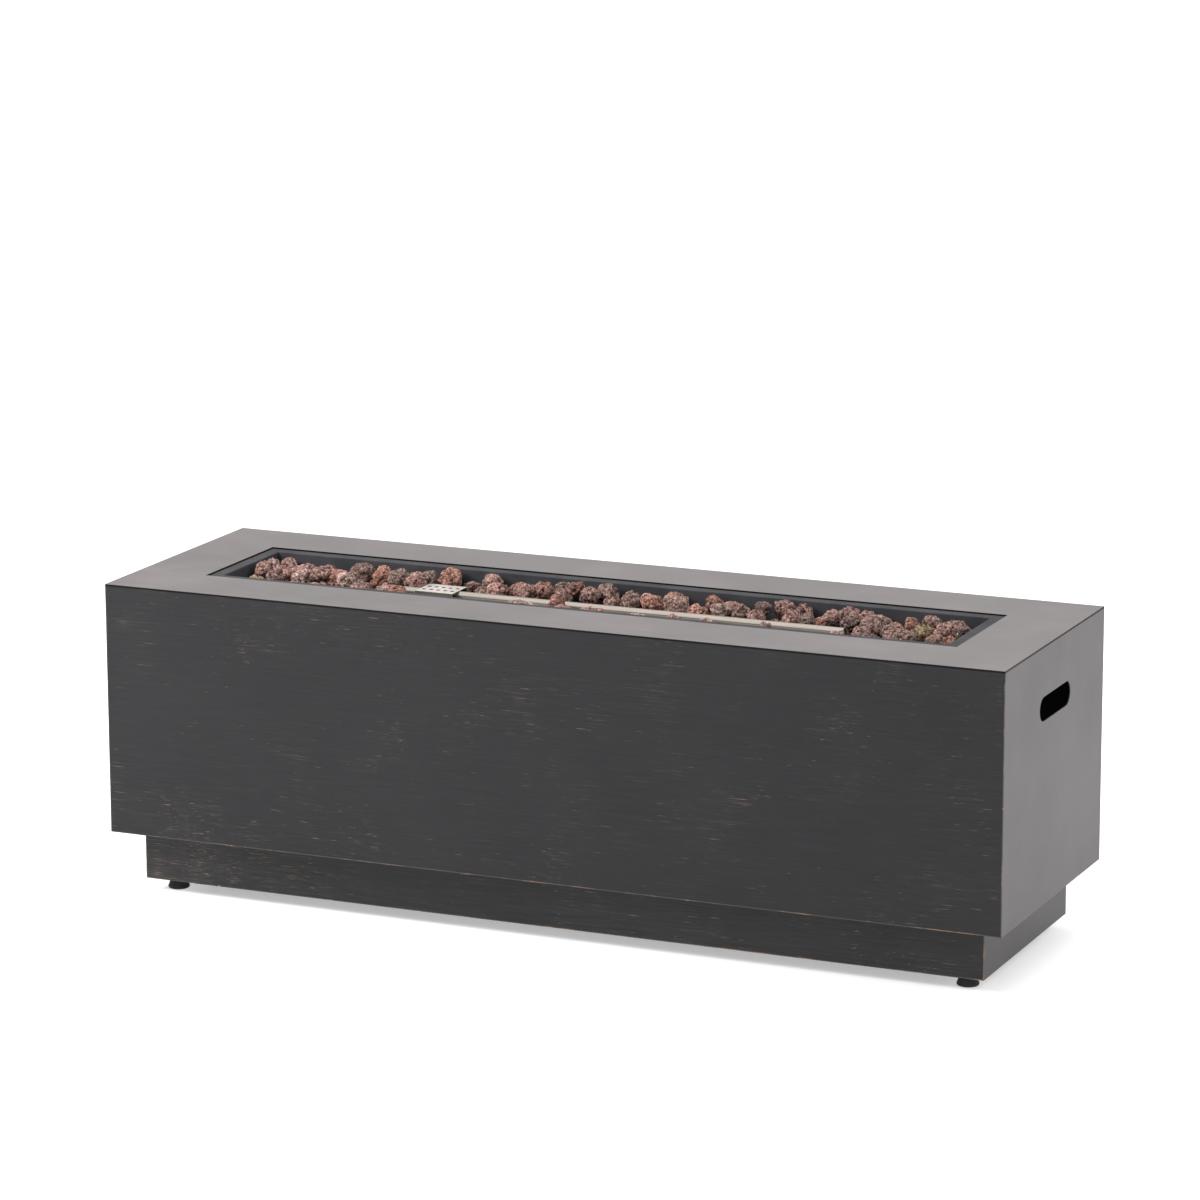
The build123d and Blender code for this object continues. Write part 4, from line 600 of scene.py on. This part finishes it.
def weathered(island, directions, chance):
    """Points of one rock and how much painted light each gets, from 0 in a pit, in full painted shade, to 1.
    """
    points, planes = island
    centre = points.mean(axis=0)
    nearness = np.zeros(len(directions))
    for normal, point in planes:
        depth = max(normal @ (point - centre), LEAST_DEPTH)
        nearness += (np.maximum(directions @ normal, 0) / depth) ** ROCK_SHARPNESS
    places = centre + directions * (nearness ** (-1 / ROCK_SHARPNESS))[:, None]
    own_place = Vector([chance.uniform(-ROCK_NOISE_REACH, ROCK_NOISE_REACH) for axis in range(3)])
    push, painted_light_share = np.zeros(len(directions)), np.ones(len(directions))
    for k, place in enumerate(places):
        p = Vector(place) + own_place
        lump = noise.noise(p * BIG_LUMPS) * BIG_LUMP_REACH + noise.noise(p * SMALL_LUMPS) * SMALL_LUMP_REACH
        crease = max(0.0, 1.0 - abs(noise.noise(p * CREASES)) / CREASE_WIDTH)
        pit = max(0.0, 1.0 - noise.voronoi(p * PITS)[0][0] / PIT_WIDTH)
        grit = noise.noise(p * GRIT)
        push[k] = ROCK_SWELL + lump - CREASE_DEPTH * crease - PIT_DEPTH * pit + GRIT_REACH * grit
        # Painted shade in pits and creases, painted highlight on grit and lumps
        painted_light = 1.0 - PIT_SHADE * pit - CREASE_SHADE * crease + GRIT_LIGHT * grit + LUMP_LIGHT * lump
        painted_light_share[k] = min(1.0, max(0.0, painted_light))
    return places + directions * push[:, None], painted_light_share


def lava_rocks():
    """All the rocks as one piece, each with its own colour and its painted shade."""
    chance = random.Random(ROCK_SEED)
    directions, faces = ball(ROCK_DETAIL)
    all_points, all_faces, colours_and_shade = [], [], []
    for island in rock_islands(NODES["lava_rocks"]):
        points, painted_light_share = weathered(island, directions, chance)
        colour = chance.choices(list(ROCK_COLOURS), list(ROCK_COLOURS.values()))[0]
        tint = np.array(colour) * chance.uniform(*ROCK_TINTS)
        all_faces.append(faces + len(directions) * len(all_points))
        all_points.append(points)
        colours_and_shade.append(np.column_stack([np.tile(tint, (len(points), 1)), painted_light_share]))
    mesh = bpy.data.meshes.new("lava_rock_bed")
    mesh.from_pydata(np.concatenate(all_points).tolist(), [], np.concatenate(all_faces).tolist())
    mesh.shade_smooth()
    layer = mesh.color_attributes.new("rock_colour_and_shade", "FLOAT_COLOR", "POINT")
    layer.data.foreach_set("color", np.concatenate(colours_and_shade).ravel())
    mesh.materials.append(LAVA)
    bed = bpy.data.objects.new("lava_rock_bed", mesh)
    bpy.context.collection.objects.link(bed)
    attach(bed, "cabinet")
    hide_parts("lava_rocks")


lava_rocks()


# Stage, light and camera

FLOOR_REACH = 30.0
FLOOR_DARK, FLOOR_LIGHT = (0.70, 0.70, 0.70, 1), (0.73, 0.73, 0.73, 1)
FLOOR_GLOW = 0.42
WHITE = (1, 1, 1, 1)
AIR_STRENGTH = 0.89
# The camera fitted to the photo: its place, the way it looks, its roll in degrees, its lens in millimetres
CAMERA_PLACE = (2.856, -6.4988, 2.0834)
CAMERA_FORWARD = (-0.3922, 0.8929, -0.2211)
CAMERA_ROLL = -0.149
CAMERA_LENS, CAMERA_SENSOR = 147.67, 36.0


def floor():
    """Pale paper that glows a little, so that it stays white up to the soft shadow."""
    made, t, surface = material("pale_floor")
    t.feed(surface["Base Color"], t.mix(t.noise(t.place(), scale=2.0), FLOOR_DARK, FLOOR_LIGHT))
    surface["Roughness"].default_value = 0.9
    surface["Specular IOR Level"].default_value = 0.1
    surface["Emission Color"].default_value = WHITE
    surface["Emission Strength"].default_value = FLOOR_GLOW
    mesh = bpy.data.meshes.new("studio_floor")
    corners = [(-FLOOR_REACH, -FLOOR_REACH, 0), (FLOOR_REACH, -FLOOR_REACH, 0),
               (FLOOR_REACH, FLOOR_REACH, 0), (-FLOOR_REACH, FLOOR_REACH, 0)]
    mesh.from_pydata(corners, [], [(0, 1, 2, 3)])
    mesh.materials.append(made)
    plane = bpy.data.objects.new("studio_floor", mesh)
    bpy.context.collection.objects.link(plane)


def soft_box(name, place, aim, size, power, mirrored=True):
    """A rectangle of soft light; one that is not mirrored lights the floor without a glare on the steel."""
    lamp = bpy.data.lights.new(name, "AREA")
    lamp.shape = "RECTANGLE"
    lamp.size, lamp.size_y = size
    lamp.energy = power
    box = bpy.data.objects.new(name, lamp)
    bpy.context.collection.objects.link(box)
    box.location = place
    box.rotation_euler = (Vector(aim) - Vector(place)).to_track_quat("-Z", "Y").to_euler()
    box.visible_glossy = mirrored


def studio():
    """White air, a large soft light overhead and a small one at each side."""
    world = bpy.data.worlds.new("studio_air")
    world.use_nodes = True
    air = world.node_tree.nodes["Background"].inputs
    air["Color"].default_value = WHITE
    air["Strength"].default_value = AIR_STRENGTH
    bpy.context.scene.world = world
    soft_box("overhead_box", place=(-0.4, 0.4, 4.0), aim=(0, 0, 0.3), size=(7.0, 6.0), power=160)
    soft_box("left_box", place=(-2.4, -2.0, 2.2), aim=(-1.3, -1.3, 0), size=(1.4, 1.4), power=150,
             mirrored=False)
    soft_box("right_box", place=(3.2, 0.8, 2.4), aim=(0.9, 0.2, 0), size=(1.6, 1.6), power=30,
             mirrored=False)
    bpy.context.scene.view_settings.view_transform = "Standard"


def camera():
    """The photo's view of the part."""
    lens = bpy.data.cameras.new("photo_camera")
    lens.lens, lens.sensor_width, lens.sensor_fit = CAMERA_LENS, CAMERA_SENSOR, "HORIZONTAL"
    eye = bpy.data.objects.new("photo_camera", lens)
    bpy.context.collection.objects.link(eye)
    turn = Vector(CAMERA_FORWARD).normalized().to_track_quat("-Z", "Y").to_matrix().to_4x4()
    roll = Matrix.Rotation(math.radians(CAMERA_ROLL), 4, "Z")
    eye.matrix_world = Matrix.Translation(CAMERA_PLACE) @ turn @ roll
    bpy.context.scene.camera = eye


floor()
studio()
camera()
